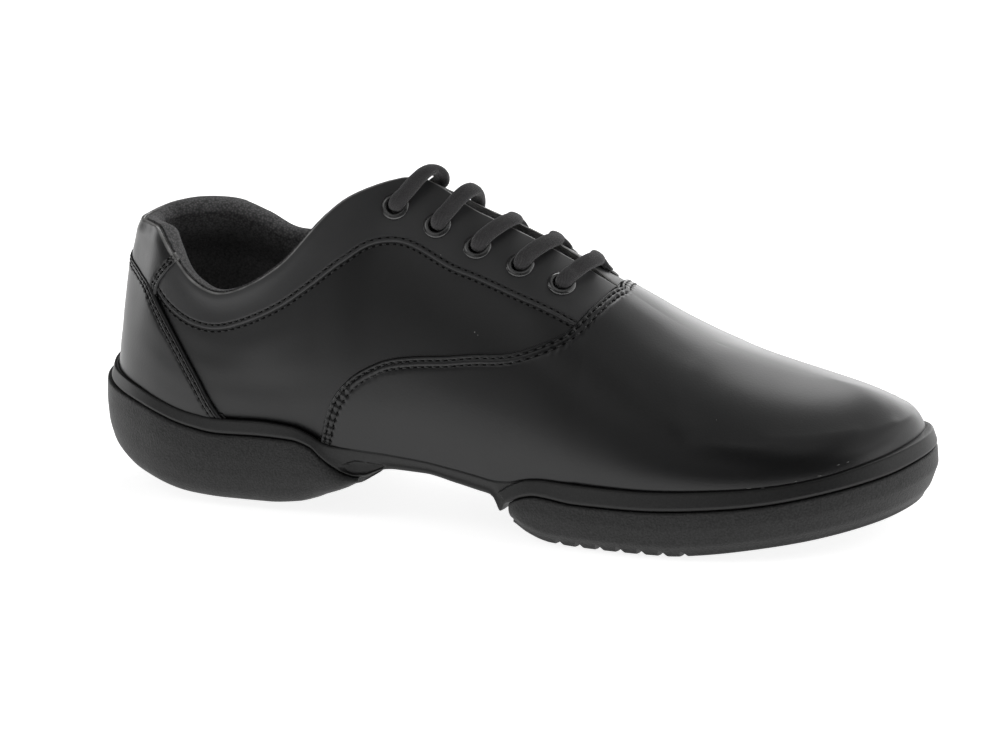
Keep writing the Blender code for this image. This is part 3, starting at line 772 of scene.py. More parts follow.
@dataclass(frozen=True)
class Leather:
    """Black leather with a fine grain and a soft gloss, and a painted highlight along its top edges."""

    name: str
    dark: Colour = (0.0035, 0.0035, 0.0038)
    light: Colour = (0.007, 0.007, 0.0074)
    # Light colour of a painted highlight along the leather's top edges.
    rim: Colour = (0.40, 0.396, 0.39)
    gloss: tuple[float, float] = (0.28, 0.38)
    grain: float = 1500.0
    relief: float = 0.10

    def material(self) -> bpy.types.Material:
        """Makes the material.

        Returns:
            The material.
        """
        nodes = Nodes(self.name)
        where = nodes.coordinates("Object")
        pores = nodes.noise(where, self.grain, 3.0)
        cells = nodes.cells(where, self.grain * 0.9)
        tone = nodes.noise(where, 60.0, 3.0)
        nodes.between(tone, self.dark, self.light, "Base Color")
        # Painted highlight: a vertex attribute set along the top edges mixes in the light rim colour.
        painted_light = nodes.add("ShaderNodeAttribute", attribute_name="painted_light")
        nodes.over(nodes.maths("MULTIPLY", painted_light.outputs["Fac"], nodes.noise(where, 300.0, 2.0)), self.rim)
        nodes.between(nodes.noise(where, 34.0, 4.0), self.gloss[0], self.gloss[1], "Roughness")
        nodes.set(Specular_IOR_Level=0.5, Coat_Weight=0.06, Coat_Roughness=0.25)
        nodes.bump((cells, self.relief, 0.00012), (pores, self.relief, 0.0001))
        return nodes.material


@dataclass(frozen=True)
class Rubber:
    """Matte black moulded rubber with a fine blasted texture."""

    name: str
    dark: Colour = (0.004, 0.004, 0.004)
    light: Colour = (0.018, 0.018, 0.018)
    gloss: tuple[float, float] = (0.48, 0.62)
    grain: float = 1500.0
    relief: float = 0.8

    def material(self) -> bpy.types.Material:
        """Makes the material.

        Returns:
            The material.
        """
        nodes = Nodes(self.name)
        where = nodes.coordinates("Object")
        specks = nodes.noise(where, self.grain, 2.0)
        nodes.between(specks, self.dark, self.light, "Base Color", (0.35, 0.65))
        nodes.between(nodes.noise(where, 90.0, 3.0), self.gloss[0], self.gloss[1], "Roughness")
        nodes.set(Specular_IOR_Level=0.42)
        nodes.bump((specks, self.relief, 0.0003), (nodes.noise(where, 420.0, 2.0), self.relief * 0.5, 0.0002))
        return nodes.material


@dataclass(frozen=True)
class MeshTextile:
    """Dark grey knitted mesh with small holes."""

    name: str
    # Painted light: these tones are lighter than the dark grey cloth, to stand in for light that reaches
    # little inside the shoe.
    dark: Colour = (0.11, 0.109, 0.11)
    light: Colour = (0.30, 0.296, 0.30)
    # Darker colour laid back along the lining's top, where the lamps do reach it.
    rim: Colour = (0.03, 0.0295, 0.03)
    scale: float = 1300.0

    def material(self) -> bpy.types.Material:
        """Makes the material.

        Returns:
            The material.
        """
        nodes = Nodes(self.name)
        where = nodes.coordinates("Object")
        holes = nodes.cells(where, self.scale)
        nodes.between(holes, self.light, self.dark, "Base Color")
        # Painted light: along the top, the darker rim colour goes over the lightened cloth, most away from
        # the middles of the holes.
        painted_light = nodes.add("ShaderNodeAttribute", attribute_name="painted_light").outputs["Fac"]
        nodes.over(nodes.maths("MULTIPLY", painted_light, nodes.maths("POWER", holes, 0.35)), self.rim)
        nodes.set(Roughness=0.95, Specular_IOR_Level=0.15, Sheen_Weight=0.10, Sheen_Roughness=0.5)
        nodes.bump((holes, -0.9, 0.0006), (nodes.noise(where, 2600.0), 0.3, 0.0002))
        return nodes.material


@dataclass(frozen=True)
class Cotton:
    """Matte black woven cotton, with its plait along the UV map of a cord."""

    name: str
    dark: Colour = (0.030, 0.029, 0.030)
    light: Colour = (0.14, 0.136, 0.139)
    plaits: tuple[float, float] = (1500.0, 18.0)

    def material(self) -> bpy.types.Material:
        """Makes the material.

        Returns:
            The material.
        """
        nodes = Nodes(self.name)
        weave = nodes.add("ShaderNodeTexWave", wave_type="BANDS", bands_direction="DIAGONAL", Scale=1.0)
        nodes.link(nodes.coordinates("UV", (self.plaits[0], self.plaits[1], 1.0)), weave.inputs["Vector"])
        where = nodes.coordinates("Object")
        fibre = nodes.noise(where, 3200.0, 2.0)
        tone = nodes.maths("MULTIPLY", weave.outputs["Fac"], fibre)
        nodes.between(tone, self.dark, self.light, "Base Color")
        nodes.set(Roughness=0.95, Specular_IOR_Level=0.2, Sheen_Weight=0.3, Sheen_Roughness=0.4)
        nodes.bump((weave.outputs["Fac"], 0.4, 0.00025), (fibre, 0.7, 0.00025))
        return nodes.material


@dataclass(frozen=True)
class Thread:
    """Black waxed sewing thread."""

    name: str
    dark: Colour = (0.006, 0.006, 0.006)
    light: Colour = (0.02, 0.02, 0.02)
    shine: float = 0.45
    gloss: float = 0.42

    def material(self) -> bpy.types.Material:
        """Makes the material.

        Returns:
            The material.
        """
        nodes = Nodes(self.name)
        twist = nodes.noise(nodes.coordinates("Object"), 4000.0, 1.0)
        nodes.between(twist, self.dark, self.light, "Base Color")
        nodes.set(Roughness=self.gloss, Specular_IOR_Level=self.shine)
        nodes.bump((twist, 0.3, 0.0001))
        return nodes.material


@dataclass(frozen=True)
class EyeletPaint:
    """Glossy black paint on metal, a little rubbed on its rim."""

    name: str
    dark: Colour = (0.025, 0.025, 0.025)
    light: Colour = (0.07, 0.07, 0.0705)

    def material(self) -> bpy.types.Material:
        """Makes the material.

        Returns:
            The material.
        """
        nodes = Nodes(self.name)
        tint = nodes.noise(nodes.coordinates("Object"), 700.0, 3.0)
        nodes.between(tint, self.dark, self.light, "Base Color")
        nodes.between(tint, 0.14, 0.28, "Roughness")
        nodes.set(Metallic=0.3, Specular_IOR_Level=0.7, Coat_Weight=0.9, Coat_Roughness=0.07)
        nodes.bump((tint, 0.05, 0.0001))
        return nodes.material


class Finish(Enum):
    """Finishes of the shoe, each with the record's slot that it belongs to."""

    QUARTER = (Leather("quarter_leather", gloss=(0.34, 0.46)), "leather")
    PANEL = (Leather("panel_leather"), "leather")
    # Painted sheen: the facing is the same black leather, with a lighter base colour that stands in for the
    # stronger sheen it catches.
    FACING = (
        Leather("facing_leather", (0.024, 0.024, 0.0245), (0.036, 0.036, 0.037), gloss=(0.42, 0.54)),
        "leather",
    )
    TONGUE = (Leather("tongue_leather", gloss=(0.45, 0.55)), "leather")
    BAND = (
        Rubber("band_rubber", (0.006, 0.006, 0.006), (0.011, 0.011, 0.011), (0.40, 0.5), relief=0.12),
        "rubber",
    )
    BLOCK = (Rubber("block_rubber"), "rubber")
    LINING = (MeshTextile("lining_mesh_painted_light"), "sock")
    SOCK = (
        MeshTextile("sock_textile", scale=1400.0, dark=(0.01, 0.01, 0.01), light=(0.05, 0.05, 0.052)),
        "sock",
    )
    LACE = (Cotton("lace_cotton"), "lace")
    THREAD = (Thread("sewing_thread"), "leather")
    # Painted shade: dark matte grains in the needle holes, which lie in shadow.
    HOLE_SHADE = (
        Thread("needle_hole_shade", (0.004, 0.004, 0.004), (0.008, 0.008, 0.008), shine=0.10, gloss=1.0),
        "leather",
    )
    EYELET = (EyeletPaint("eyelet_paint"), "eyelet")
    DUST = (Thread("pale_dust", (0.10, 0.10, 0.10), (0.34, 0.34, 0.33), shine=0.1, gloss=0.9), "leather")

    def made(self) -> bpy.types.Material:
        """The material, made on first use."""
        recipe = self.value[0]
        return bpy.data.materials.get(recipe.name) or recipe.material()

    @property
    def slot(self) -> str:
        """The record's material slot."""
        return self.value[1]


# Meshes


def grid_body(points: Array, uv: Array | None = None, painted_light: Array | None = None) -> bmesh.types.BMesh:
    """Sheet of quads with its corners at a grid of points.

    Args:
        points: columns by rows by 3, in metres.
        uv: columns by rows by 2, or None for no UV map.
        painted_light: columns by rows, how much of the finish's painted light is laid on at each corner, or
            None.

    Returns:
        The sheet, with points that coincide merged.
    """
    columns, rows = points.shape[:2]
    body = bmesh.new()
    bmesh.ops.create_grid(body, x_segments=columns - 1, y_segments=rows - 1, size=1.0)
    # Vertex layer of painted light, which the leather and lining finishes read.
    tint = body.verts.layers.float.new("painted_light") if painted_light is not None else None
    index = {}
    for vert in body.verts:
        i = round((vert.co.x + 1) / 2 * (columns - 1))
        j = round((vert.co.y + 1) / 2 * (rows - 1))
        index[vert] = (i, j)
    if uv is not None:
        layer = body.loops.layers.uv.new("UVMap")
        for face in body.faces:
            for corner in face.loops:
                corner[layer].uv = uv[index[corner.vert]]
    for vert, place in index.items():
        vert.co = points[place]
        if tint is not None:
            vert[tint] = painted_light[place]
    bmesh.ops.remove_doubles(body, verts=body.verts[:], dist=MERGE)
    bmesh.ops.dissolve_degenerate(body, edges=body.edges[:], dist=SLIVER)
    return body


def tree_of(points: Array) -> KDTree:
    """Search tree of points.

    Args:
        points: the points.

    Returns:
        The tree, ready to search.
    """
    tree = KDTree(len(points))
    for i, point in enumerate(points):
        tree.insert(point, i)
    tree.balance()
    return tree


def face_out(body: bmesh.types.BMesh, points: Array, normals: Array) -> None:
    """Turns a whole sheet over if it faces against the normals near it.

    Args:
        body: the sheet.
        points: places in metres.
        normals: the outward direction at each place.
    """
    tree = tree_of(points)
    body.normal_update()
    faces = body.faces[:]
    votes = 0.0
    for face in faces[:: max(1, len(faces) // 200)]:
        votes += face.normal.dot(Vector(normals[tree.find(face.calc_center_median())[1]]))
    if votes < 0:
        bmesh.ops.reverse_faces(body, faces=faces)


def face_skin(body: bmesh.types.BMesh, points: Array, loop: Array, share: Array) -> None:
    """Turns a sheet to face out of the upper.

    Args:
        body: the sheet.
        points: a grid of places on or near it.
        loop: their places around the upper.
        share: the way up at each of them.
    """
    some = (slice(None, None, 8), slice(None, None, 5))
    normals = LAST.normals(loop[some].ravel(), share[some].ravel())
    face_out(body, LAST.place(points[some]).reshape(-1, 3), normals)


def soften(body: bmesh.types.BMesh, limit: float) -> None:
    """Shades a body smooth, apart from its sharp edges.

    Args:
        body: the body.
        limit: the angle in degrees from which an edge is sharp.
    """
    for face in body.faces:
        face.smooth = True
    for edge in body.edges:
        if len(edge.link_faces) == 2:
            edge.smooth = edge.calc_face_angle(0.0) < math.radians(limit)


def cap(body: bmesh.types.BMesh, limit: float) -> None:
    """Closes a body's open ends, turns it outwards and shades it.

    Args:
        body: the body.
        limit: the angle in degrees from which an edge is sharp.
    """
    bmesh.ops.holes_fill(body, edges=[e for e in body.edges if e.is_boundary], sides=0)
    bmesh.ops.recalc_face_normals(body, faces=body.faces[:])
    soften(body, limit)


def mesh_of(name: str, body: bmesh.types.BMesh) -> bpy.types.Mesh:
    """Mesh of a body.

    Args:
        name: the mesh's name.
        body: its shape, which is freed.

    Returns:
        The mesh.
    """
    mesh = bpy.data.meshes.new(name)
    body.to_mesh(mesh)
    body.free()
    return mesh


def linked(name: str, data: bpy.types.ID) -> bpy.types.Object:
    """New object in the scene.

    Args:
        name: the object's name.
        data: its mesh, light or camera.

    Returns:
        The object.
    """
    made = bpy.data.objects.new(name, data)
    bpy.context.scene.collection.objects.link(made)
    return made


def stand(axes: Sequence[Sequence[float]], centre: Sequence[float]) -> Matrix:
    """Matrix of three axes at a centre.

    Args:
        axes: the x, y and z axes.
        centre: where they meet, in metres.

    Returns:
        The matrix.
    """
    turn = Matrix.Identity(4)
    for k, direction in enumerate(axes):
        turn.col[k][:3] = direction
    turn.translation = Vector(centre)
    return turn


def piece(name: str, body: bmesh.types.BMesh, finish: Finish, nodes: Sequence[str] = ()) -> bpy.types.Object:
    """Makes an object of a body, which rides on the shoe.

    Args:
        name: the piece's name.
        body: its shape, which is freed.
        finish: its finish.
        nodes: the solids that it stands for.

    Returns:
        The object.
    """
    mesh = mesh_of(name, body)
    mesh.materials.append(finish.made())
    made = linked(name, mesh)
    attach(made, BODY)
    if nodes:
        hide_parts(*nodes)
    finish.slot
    return made


def thicken(made: bpy.types.Object, thick: float) -> None:
    """Gives a sheet a wall inwards.

    Args:
        made: the sheet.
        thick: the wall's thickness.
    """
    wall = made.modifiers.new("wall", "SOLIDIFY")
    wall.thickness = thick * MM
    wall.offset = -1.0
    wall.use_even_offset = False


def bake(made: bpy.types.Object) -> None:
    """Turns a piece's modifiers into its mesh.

    Args:
        made: the piece.
    """
    seen = made.evaluated_get(bpy.context.evaluated_depsgraph_get())
    mesh = bpy.data.meshes.new_from_object(seen)
    made.modifiers.clear()
    made.data = mesh


def cut(made: bpy.types.Object, tool: bmesh.types.BMesh) -> None:
    """Takes a body out of a piece.

    Args:
        made: the piece, with any wall still as a modifier.
        tool: closed body to take out, which is freed.
    """
    mesh = mesh_of("cutter", tool)
    cutter = linked("cutter", mesh)
    change = made.modifiers.new("cut", "BOOLEAN")
    change.operation = "DIFFERENCE"
    change.solver = "EXACT"
    change.object = cutter
    bake(made)
    bpy.data.objects.remove(cutter, do_unlink=True)
    bpy.data.meshes.remove(mesh)


def crisp(made: bpy.types.Object, limit: float) -> None:
    """Shades a cut piece smooth again, apart from its sharp edges.

    Args:
        made: the piece.
        limit: the angle in degrees from which an edge is sharp.
    """
    body = bmesh.new()
    body.from_mesh(made.data)
    soften(body, limit)
    body.to_mesh(made.data)
    body.free()


def report(made: bpy.types.Object) -> bpy.types.Object:
    """Logs a finished piece."""
    log.info("%s: %d faces", made.name, len(made.data.polygons))
    return made


def hole_pins(side: Side, radius: float) -> bmesh.types.BMesh:
    """Pins through the eyelet holes of one side.

    Args:
        side: the side of the shoe.
        radius: the pins' radius.

    Returns:
        The pins as one body.
    """
    pins = bmesh.new()
    for edge in EYELETS:
        centre, axis, ahead = LAST.eyelet(edge, side)
        bmesh.ops.create_cone(
            pins,
            cap_ends=True,
            segments=PIN_SIDES,
            radius1=radius * MM,
            radius2=radius * MM,
            depth=PIN_LENGTH * MM,
            matrix=stand((ahead, np.cross(axis, ahead), axis), LAST.place(centre)),
        )
    return pins


@dataclass
class Seam:
    """A sewn edge of a panel: its line on the surface, and the way to the inside of the panel."""

    loop: Array
    share: Array
    inward: int
    rows: tuple[float, ...] = ()
    step: float = 0.12
    line: Array = field(init=False)
    along: Array = field(init=False)
    tree: KDTree = field(init=False)

    def __post_init__(self) -> None:
        """Works out the line in close steps of equal length."""
        rough = LAST.skin(self.loop, self.share)
        lengths = lengths_along(rough)
        self.along = np.linspace(0.0, lengths[-1], max(50, int(lengths[-1] / self.step)))
        self.loop = np.interp(self.along, lengths, self.loop)
        self.share = np.interp(self.along, lengths, self.share)
        self.line = LAST.skin(self.loop, self.share)
        self.tree = tree_of(self.line)

    def near(self, points: Array) -> tuple[Array, Array]:
        """Places nearest to points.

        Args:
            points: the points.

        Returns:
            Distances from the seam, and the lengths along it where they are nearest.
        """
        found = [self.tree.find(p)[1:] for p in points.reshape(-1, 3)]
        index = np.array([f[0] for f in found])
        distance = np.array([f[1] for f in found])
        return distance.reshape(points.shape[:-1]), self.along[index].reshape(points.shape[:-1])

    def row(self, distance: float, pitch: float, phase: float) -> tuple[Array, Array, Array]:
        """Places in a row beside the seam.

        Args:
            distance: from the edge, inwards.
            pitch: from one place to the next.
            phase: the first place, as a part of the pitch.

        Returns:
            Places on the loop, shares, and the direction of the seam at each.
        """
        at = np.arange(phase * pitch, self.along[-1], pitch)
        loop = np.interp(at, self.along, self.loop)
        share = np.interp(at, self.along, self.share)
        ahead = np.gradient(self.line, axis=0)
        ahead = unit(np.stack([np.interp(at, self.along, ahead[:, k]) for k in range(3)], -1))
        aside = np.cross(LAST.normals(loop, share), ahead) * self.inward * distance
        over, rise = LAST.tangents(loop, share)
        move = np.einsum("nij,nj->ni", np.linalg.pinv(np.stack([over, rise], -1)), aside)
        kept = (share + move[:, 1] < 0.98) & (share + move[:, 1] > 0.0)
        return (loop + move[:, 0])[kept], (share + move[:, 1])[kept], ahead[kept]


@dataclass
class Panel:
    """Leather panel on the upper, between two shares of each column, with rounded sewn edges.

    Its face is smoothed ahead of calm and above calm_height, and its thread pulls harder up to the turn
    of bold. Sizes of stitches and of the dark grains of painted shade in the needle holes are half a length
    as a part of the pitch, half a width and half a height.
    """

    node: str
    loop: Array
    low: Array
    high: Array
    lift: float
    seams: tuple[Seam, ...]
    rows: Array
    round: float = 0.9
    wall: float = 1.2
    groove: float = 0.30
    pucker: float = 0.12
    pitch: float = 3.0
    groove_width: float = 0.45
    pucker_width: float = 0.9
    bold: float = 0.0
    calm: float = 0.0
    calm_height: float = 38.0
    calm_rounds: int = 90
    stitch: tuple[float, float, float] = (0.34, 0.32, 0.28)
    # Sizes of the dark grains of painted shade in the needle holes.
    needle: tuple[float, float, float] = (0.27, 0.36, 0.32)
    finish: Finish = Finish.PANEL

    def height(self, points: Array, loop: Array) -> Array:
        """Height of the panel's face above the upper.

        Args:
            points: places on the upper's own surface.
            loop: their places on the loop.

        Returns:
            Heights in millimetres.
        """
        near = np.full(points.shape[:-1], np.inf)
        pucker = self.pucker
        if self.bold:
            pucker = pucker * (1.0 + 1.3 * (1 - ramp(LAST.turn(loop), self.bold - 0.03, self.bold)))
        dents = np.zeros(points.shape[:-1])
        for seam in self.seams:
            distance, along = seam.near(points)
            own = np.zeros(points.shape[:-1])
            for row in (r for r in seam.rows if r > 0):
                puff = hump(distance, row, self.pucker_width) * np.cos(2 * np.pi * along / self.pitch)
                own = own + hump(distance, row, self.groove_width) * self.groove + puff * pucker
            dents = np.where(distance < near, own, dents)
            near = np.minimum(near, distance)
        edge = np.clip(near / self.round, 0.0, 1.0)
        return self.lift * np.sqrt(1 - (1 - edge) ** 2) - dents * ramp(near, 0.3, 0.9) - 0.08

    def build(self) -> bpy.types.Object:
        """Makes the panel.

        Returns:
            The panel, with its wall still as a modifier.
        """
        share = self.high[:, None] + (self.low - self.high)[:, None] * self.rows[None, :]
        loop = np.broadcast_to(self.loop[:, None], share.shape)
        bare = LAST.skin(loop, share)
        lift = self.height(bare, loop)
        # Painted highlight: the finish's light rim colour is laid along the top edges, the seams without rows
        # of stitches.
        painted_light = np.zeros(share.shape)
        for seam in (s for s in self.seams if not s.rows):
            painted_light = np.maximum(painted_light, 1 - ramp(seam.near(bare)[0], 0.3, 0.75))
        body = grid_body(LAST.place(LAST.skin(loop, share, lift)), painted_light=painted_light)
        face_skin(body, bare, loop, share)
        if self.calm:
            start = LAST.place(np.array([self.calm, 0.0, self.calm_height]))
            verts = [v for v in body.verts if v.co.x > start[0] and v.co.z > start[2] and not v.is_boundary]
            axes = dict.fromkeys(("use_axis_x", "use_axis_y", "use_axis_z"), True)
            for _ in range(self.calm_rounds):
                bmesh.ops.smooth_vert(body, verts=verts, factor=0.5, **axes)
        soften(body, LEATHER_SHARP)
        made = piece(f"{self.node}_leather", body, self.finish, (self.node,))
        thicken(made, self.wall)
        return made

    def sewing(self) -> list[bpy.types.Object]:
        """Makes the panel's stitches, sunk in their grooves, and dark grains of painted shade in the needle
        holes between them.

        Returns:
            The two pieces.
        """
        thread, holes = bmesh.new(), bmesh.new()
        kinds = ((thread, 0.5, self.stitch), (holes, 0.0, self.needle))
        for seam, row in ((seam, row) for seam in self.seams for row in seam.rows):
            for body, phase, size in kinds:
                loop, share, ahead = seam.row(row, self.pitch, phase)
                lift = self.height(LAST.skin(loop, share), loop) if row > 0 else np.zeros(len(loop))
                centres = LAST.place(LAST.skin(loop, share, lift + 0.06))
                half = (size[0] * self.pitch, size[1], size[2])
                for centre, along, up in zip(centres, ahead, LAST.normals(loop, share)):
                    sew(body, centre, along, up, half)
        made = []
        for body, name, finish in ((thread, "stitches", Finish.THREAD), (holes, "needle_hole_shades", Finish.HOLE_SHADE)):
            soften(body, GRAIN_SHARP)
            made.append(piece(f"{self.node}_{name}", body, finish))
        return made


def sew(body: bmesh.types.BMesh, centre: Array, along: Array, up: Array, size: Sequence[float]) -> None:
    """Adds one grain to a row of sewing, which lies on the leather.

    Args:
        body: the row so far.
        centre: the middle of the grain, in metres.
        along: its direction.
        up: the leather's normal.
        size: half its length, width and height in millimetres.
    """
    axes = [way * half * MM for way, half in zip((along, np.cross(up, along), up), size)]
    bmesh.ops.create_icosphere(body, subdivisions=1, radius=1.0, matrix=stand(axes, centre))


@dataclass
class Upper:
    """Leather shell of the shoe with its panels, lining and tongue."""

    shell: float = 1.1
    lining_wall: float = 0.8
    hole: float = 3.55
    vamp_lift: float = 1.4
    counter_lift: float = 1.9
    tab_lift: float = 1.35
    facing_lift: float = 0.6
    pad: float = 6.0
    tuck: float = 1.0
    least: float = 0.004
    tongue_depth: float = 3.0
    tongue_wall: float = 2.4
    tongue_round: float = 0.8
    sewn: tuple[float, float] = (1.6, 3.6)

    def around(self, turns: Array, rows: Array) -> tuple[Array, Array]:
        """Loops and shares of a grid that goes once around the shoe."""
        return np.meshgrid(over_toe(turns), rows, indexing="ij")

    def foot(self, loop: Array) -> Array:
        """Share of a panel's foot, which is tucked behind the band."""
        return LAST.share_at(loop, LAST.welt(loop) - self.tuck)

    def pierced(self, made: bpy.types.Object, sides: Sequence[Side]) -> bpy.types.Object:
        """Bakes a walled sheet, with the eyelet holes of some sides cut through it, and reports it.

        Args:
            made: the sheet, with its wall still as a modifier.
            sides: the sides of the shoe that it has eyelets on.

        Returns:
            The finished piece.
        """
        for side in sides:
            cut(made, hole_pins(side, self.hole))
        if sides:
            crisp(made, LEATHER_SHARP)
        else:
            bake(made)
        return report(made)

    def sheet(self, loop: Array, share: Array, points: Array, painted_light: Array | None = None) -> bmesh.types.BMesh:
        """Sheet at a grid of points, facing out of the shoe.

        Args:
            loop: places around the upper.
            share: the way up at each of those places.
            points: the grid.
            painted_light: how much of the finish's painted light is laid on at each point, or None.

        Returns:
            The sheet.
        """
        body = grid_body(LAST.place(points), painted_light=painted_light)
        face_skin(body, points, loop, share)
        soften(body, LEATHER_SHARP)
        return body

    def quarter(self) -> bpy.types.Object:
        """Shell under the panels, open at the collar, along the throat and underneath.

        Returns:
            The piece.
        """
        turns = spread((0.0, 0.36, 0.62, 1.0), (0.006, 0.0035, 0.007))
        loop, share = self.around(turns, spread((0.0, 0.75, 1.0), (0.02, 0.0125)))
        edge = 0.45 * (1 - np.sqrt(1 - ramp(share, 0.985, 1.0) ** 2 * 0.99))
        open_top = LAST.turn(loop) < LAST.throat_end
        # Painted highlight along the open top edge of the collar.
        painted_light = ramp(share, 0.98, 0.995) * open_top
        body = self.sheet(loop, share, LAST.skin(loop, share, np.where(open_top, -edge, 0.0)), painted_light)
        made = piece("quarter_shell", body, Finish.QUARTER, ("upper",))
        thicken(made, self.shell)
        return self.pierced(made, list(Side))

    def lining(self) -> bpy.types.Object:
        """Textile lining, padded around the collar.

        Returns:
            The piece.
        """
        turns = spread((0.0, 0.42, 0.60, 1.0), (0.006, 0.006, 0.01))
        loop, share = self.around(turns, spread((0.02, 0.60, 0.90, 0.96, 1.0), (0.05, 0.025, 0.012, 0.0027)))
        turn = LAST.turn(loop)
        fill = self.pad * (1 - ramp(turn, 0.24, 0.41)) * (0.6 + 0.4 * ramp(turn, 0.02, 0.15))
        roof = np.sqrt(1 - 0.999 * np.clip((share - 0.962) / 0.038, 0.0, 1.0) ** 2)
        closed = ramp(turn, LAST.throat_end - 0.01, LAST.throat_end) * ramp(share, 0.9, 1.0)
        rim = fill / self.pad * (1 - roof)
        inset = self.shell + 0.15 + fill * ramp(share, 0.62, 0.92) * roof - 0.65 * rim + 0.2 * closed
        points = LAST.skin(loop, share, -inset)
        points[..., 2] += rim * (2.4 * roof - 0.25)
        # Painted light: the darker rim colour is laid over the top of the lining.
        body = self.sheet(loop, share, points, 0.72 * ramp(share, 0.80, 0.95))
        made = piece("collar_lining", body, Finish.LINING)
        thicken(made, self.lining_wall)
        return self.pierced(made, list(Side))

    def vamp(self) -> Panel:
        """Vamp with a wing along each side, over the toe to the end of the throat.

        Returns:
            The panel, still to be built.
        """
        first, last = VAMP_EDGE[0].turn, VAMP_EDGE[-1].turn
        turns = spread((first, 0.41, 0.575, last, 0.615, 1.0), (0.0008, 0.0022, 0.0006, 0.0009, 0.007))
        loop = over_toe(turns)
        low = self.foot(loop)
        high = np.where(LAST.turn(loop) >= last, 1.0, edge_line(VAMP_EDGE, LAST.turn(loop)))
        high = np.maximum(high, low + self.least)
        turn, share = edge_curve(VAMP_EDGE)
        seams = []
        for side in Side:
            line = side.loops(turn)
            seams.append(Seam(line, np.maximum(share, self.foot(line)), -side.up, self.sewn))
        looks = {"pucker": 0.15, "pitch": 2.8, "calm": 222.0, "bold": 0.47}
        return Panel("vamp", loop, low, high, self.vamp_lift, tuple(seams), PANEL_ROWS, **looks)

    def counter(self) -> Panel:
        """Counter around the back of the heel.

        Returns:
            The panel, still to be built.
        """
        last = COUNTER_EDGE[-1].turn
        turns = spread((0.0, 0.15, last), (0.004, 0.0018))
        loop = around_heel(turns)
        low = self.foot(loop)
        high = np.maximum(edge_line(COUNTER_EDGE, LAST.turn(loop)), low + self.least)
        turn, share = edge_curve(COUNTER_EDGE)
        share = np.maximum(share, self.foot(turn))
        seam = Seam(around_heel(turn), np.concatenate([share[:0:-1], share]), -1, (1.5, 2.9))
        return Panel("heel_counter", loop, low, high, self.counter_lift, (seam,), PANEL_ROWS, pitch=2.6)

    def tab(self) -> Panel:
        """Tab at the back of the collar, tucked under the counter.

        Returns:
            The panel, still to be built.
        """
        first, last = TAB_SIDE[0].turn, TAB_SIDE[-1].turn
        turns = spread((0.0, 0.17, last - 0.002), (0.004, 0.0011))
        loop = around_heel(turns)
        turn = LAST.turn(loop)
        under = edge_line(COUNTER_EDGE, turn) - 0.04
        low = np.minimum(np.maximum(under, np.where(turn > first, edge_line(TAB_SIDE, turn), 0.0)), 0.998)
        turn, share = edge_curve(TAB_SIDE)
        seams = [Seam(side.loops(turn), share, side.up, (1.3, 2.5)) for side in Side]
        seams.append(Seam(np.linspace(-last, last, 300), np.ones(300), -1))
        rows = spread((0.0, 0.1, 0.9, 1.0), (0.012, 0.04, 0.02))
        looks = {"round": 0.6, "groove": 0.22, "pucker": 0.04, "pitch": 2.4}
        return Panel("heel_tab", loop, low, np.ones(len(loop)), self.tab_lift, tuple(seams), rows, **looks)

    def facing(self, side: Side) -> Panel:
        """Collar and eyelet facing of one side, from the heel tab to the vamp.

        Args:
            side: the side of the shoe.

        Returns:
            The panel, still to be built.
        """
        turns = spread((0.184, 0.222, 0.41, 0.57, 0.5985), (0.0011, 0.0035, 0.0024, 0.0011))
        seam_line = edge_line(FACING_EDGE, turns)
        lap = edge_line(VAMP_EDGE, turns - 0.003) - 0.02
        low = np.where(turns > 0.57, np.maximum(seam_line, lap), seam_line)
        tucked = np.minimum(edge_line(TAB_SIDE, turns + 0.006) + 0.02, 1.0)
        high = np.maximum(np.where(turns < TAB_SIDE[-1].turn - 0.002, tucked, 1.0), low + self.least)
        turn, share = edge_curve(FACING_EDGE)
        kept = (turn > 0.185) & (turn < 0.5875)
        lower = Seam(side.loops(turn[kept]), share[kept], side.up, (1.5, -0.7))
        line = np.linspace(0.213, 0.5985, 500)
        top = Seam(side.loops(line), np.ones(500), -side.up)
        rows = spread((0.0, 0.12, 0.7, 1.0), (0.012, 0.05, 0.014))
        loop, node = side.loops(turns), f"facing_{side.value}"
        looks = {"pitch": 2.5, "round": 0.7, "finish": Finish.FACING}
        return Panel(node, loop, low, high, self.facing_lift, (lower, top), rows, **looks)

    def tongue(self) -> bpy.types.Object:
        """Padded tongue under the facings, across the throat.

        Returns:
            The piece.
        """
        turns = spread((0.424, 0.625), (0.004,))
        shares = np.append(spread((0.60, 0.97), (0.03,)), 1.0)
        lateral = LAST.skin(turns[:, None], shares[None, :], -self.tongue_depth)
        medial = LAST.skin(2 - turns[:, None], shares[None, :], -self.tongue_depth)
        middle = (lateral[:, -1:] + medial[:, -1:]) / 2
        points = LAST.place(np.concatenate([lateral[:, :-1], middle, medial[:, -2::-1]], 1))
        body = grid_body(points)
        flat = points.reshape(-1, 3)
        face_out(body, flat, np.tile([0.0, 0.0, 1.0], (len(flat), 1)))
        soften(body, LEATHER_SHARP)
        made = piece("tongue_pad", body, Finish.TONGUE, ("tongue",))
        thicken(made, self.tongue_wall)
        rounded = made.modifiers.new("rounded", "BEVEL")
        rounded.width = self.tongue_round * MM
        rounded.segments = 3
        rounded.limit_method = "ANGLE"
        rounded.angle_limit = math.radians(50)
        bake(made)
        return report(made)

    def build(self) -> None:
        """Makes the upper's pieces."""
        self.quarter()
        self.lining()
        self.tongue()
        panels = [(panel, ()) for panel in (self.vamp(), self.counter(), self.tab())]
        panels += [(self.facing(side), (side,)) for side in Side]
        for panel, sides in panels:
            self.pierced(panel.build(), sides)
            for sewn in panel.sewing():
                report(sewn)


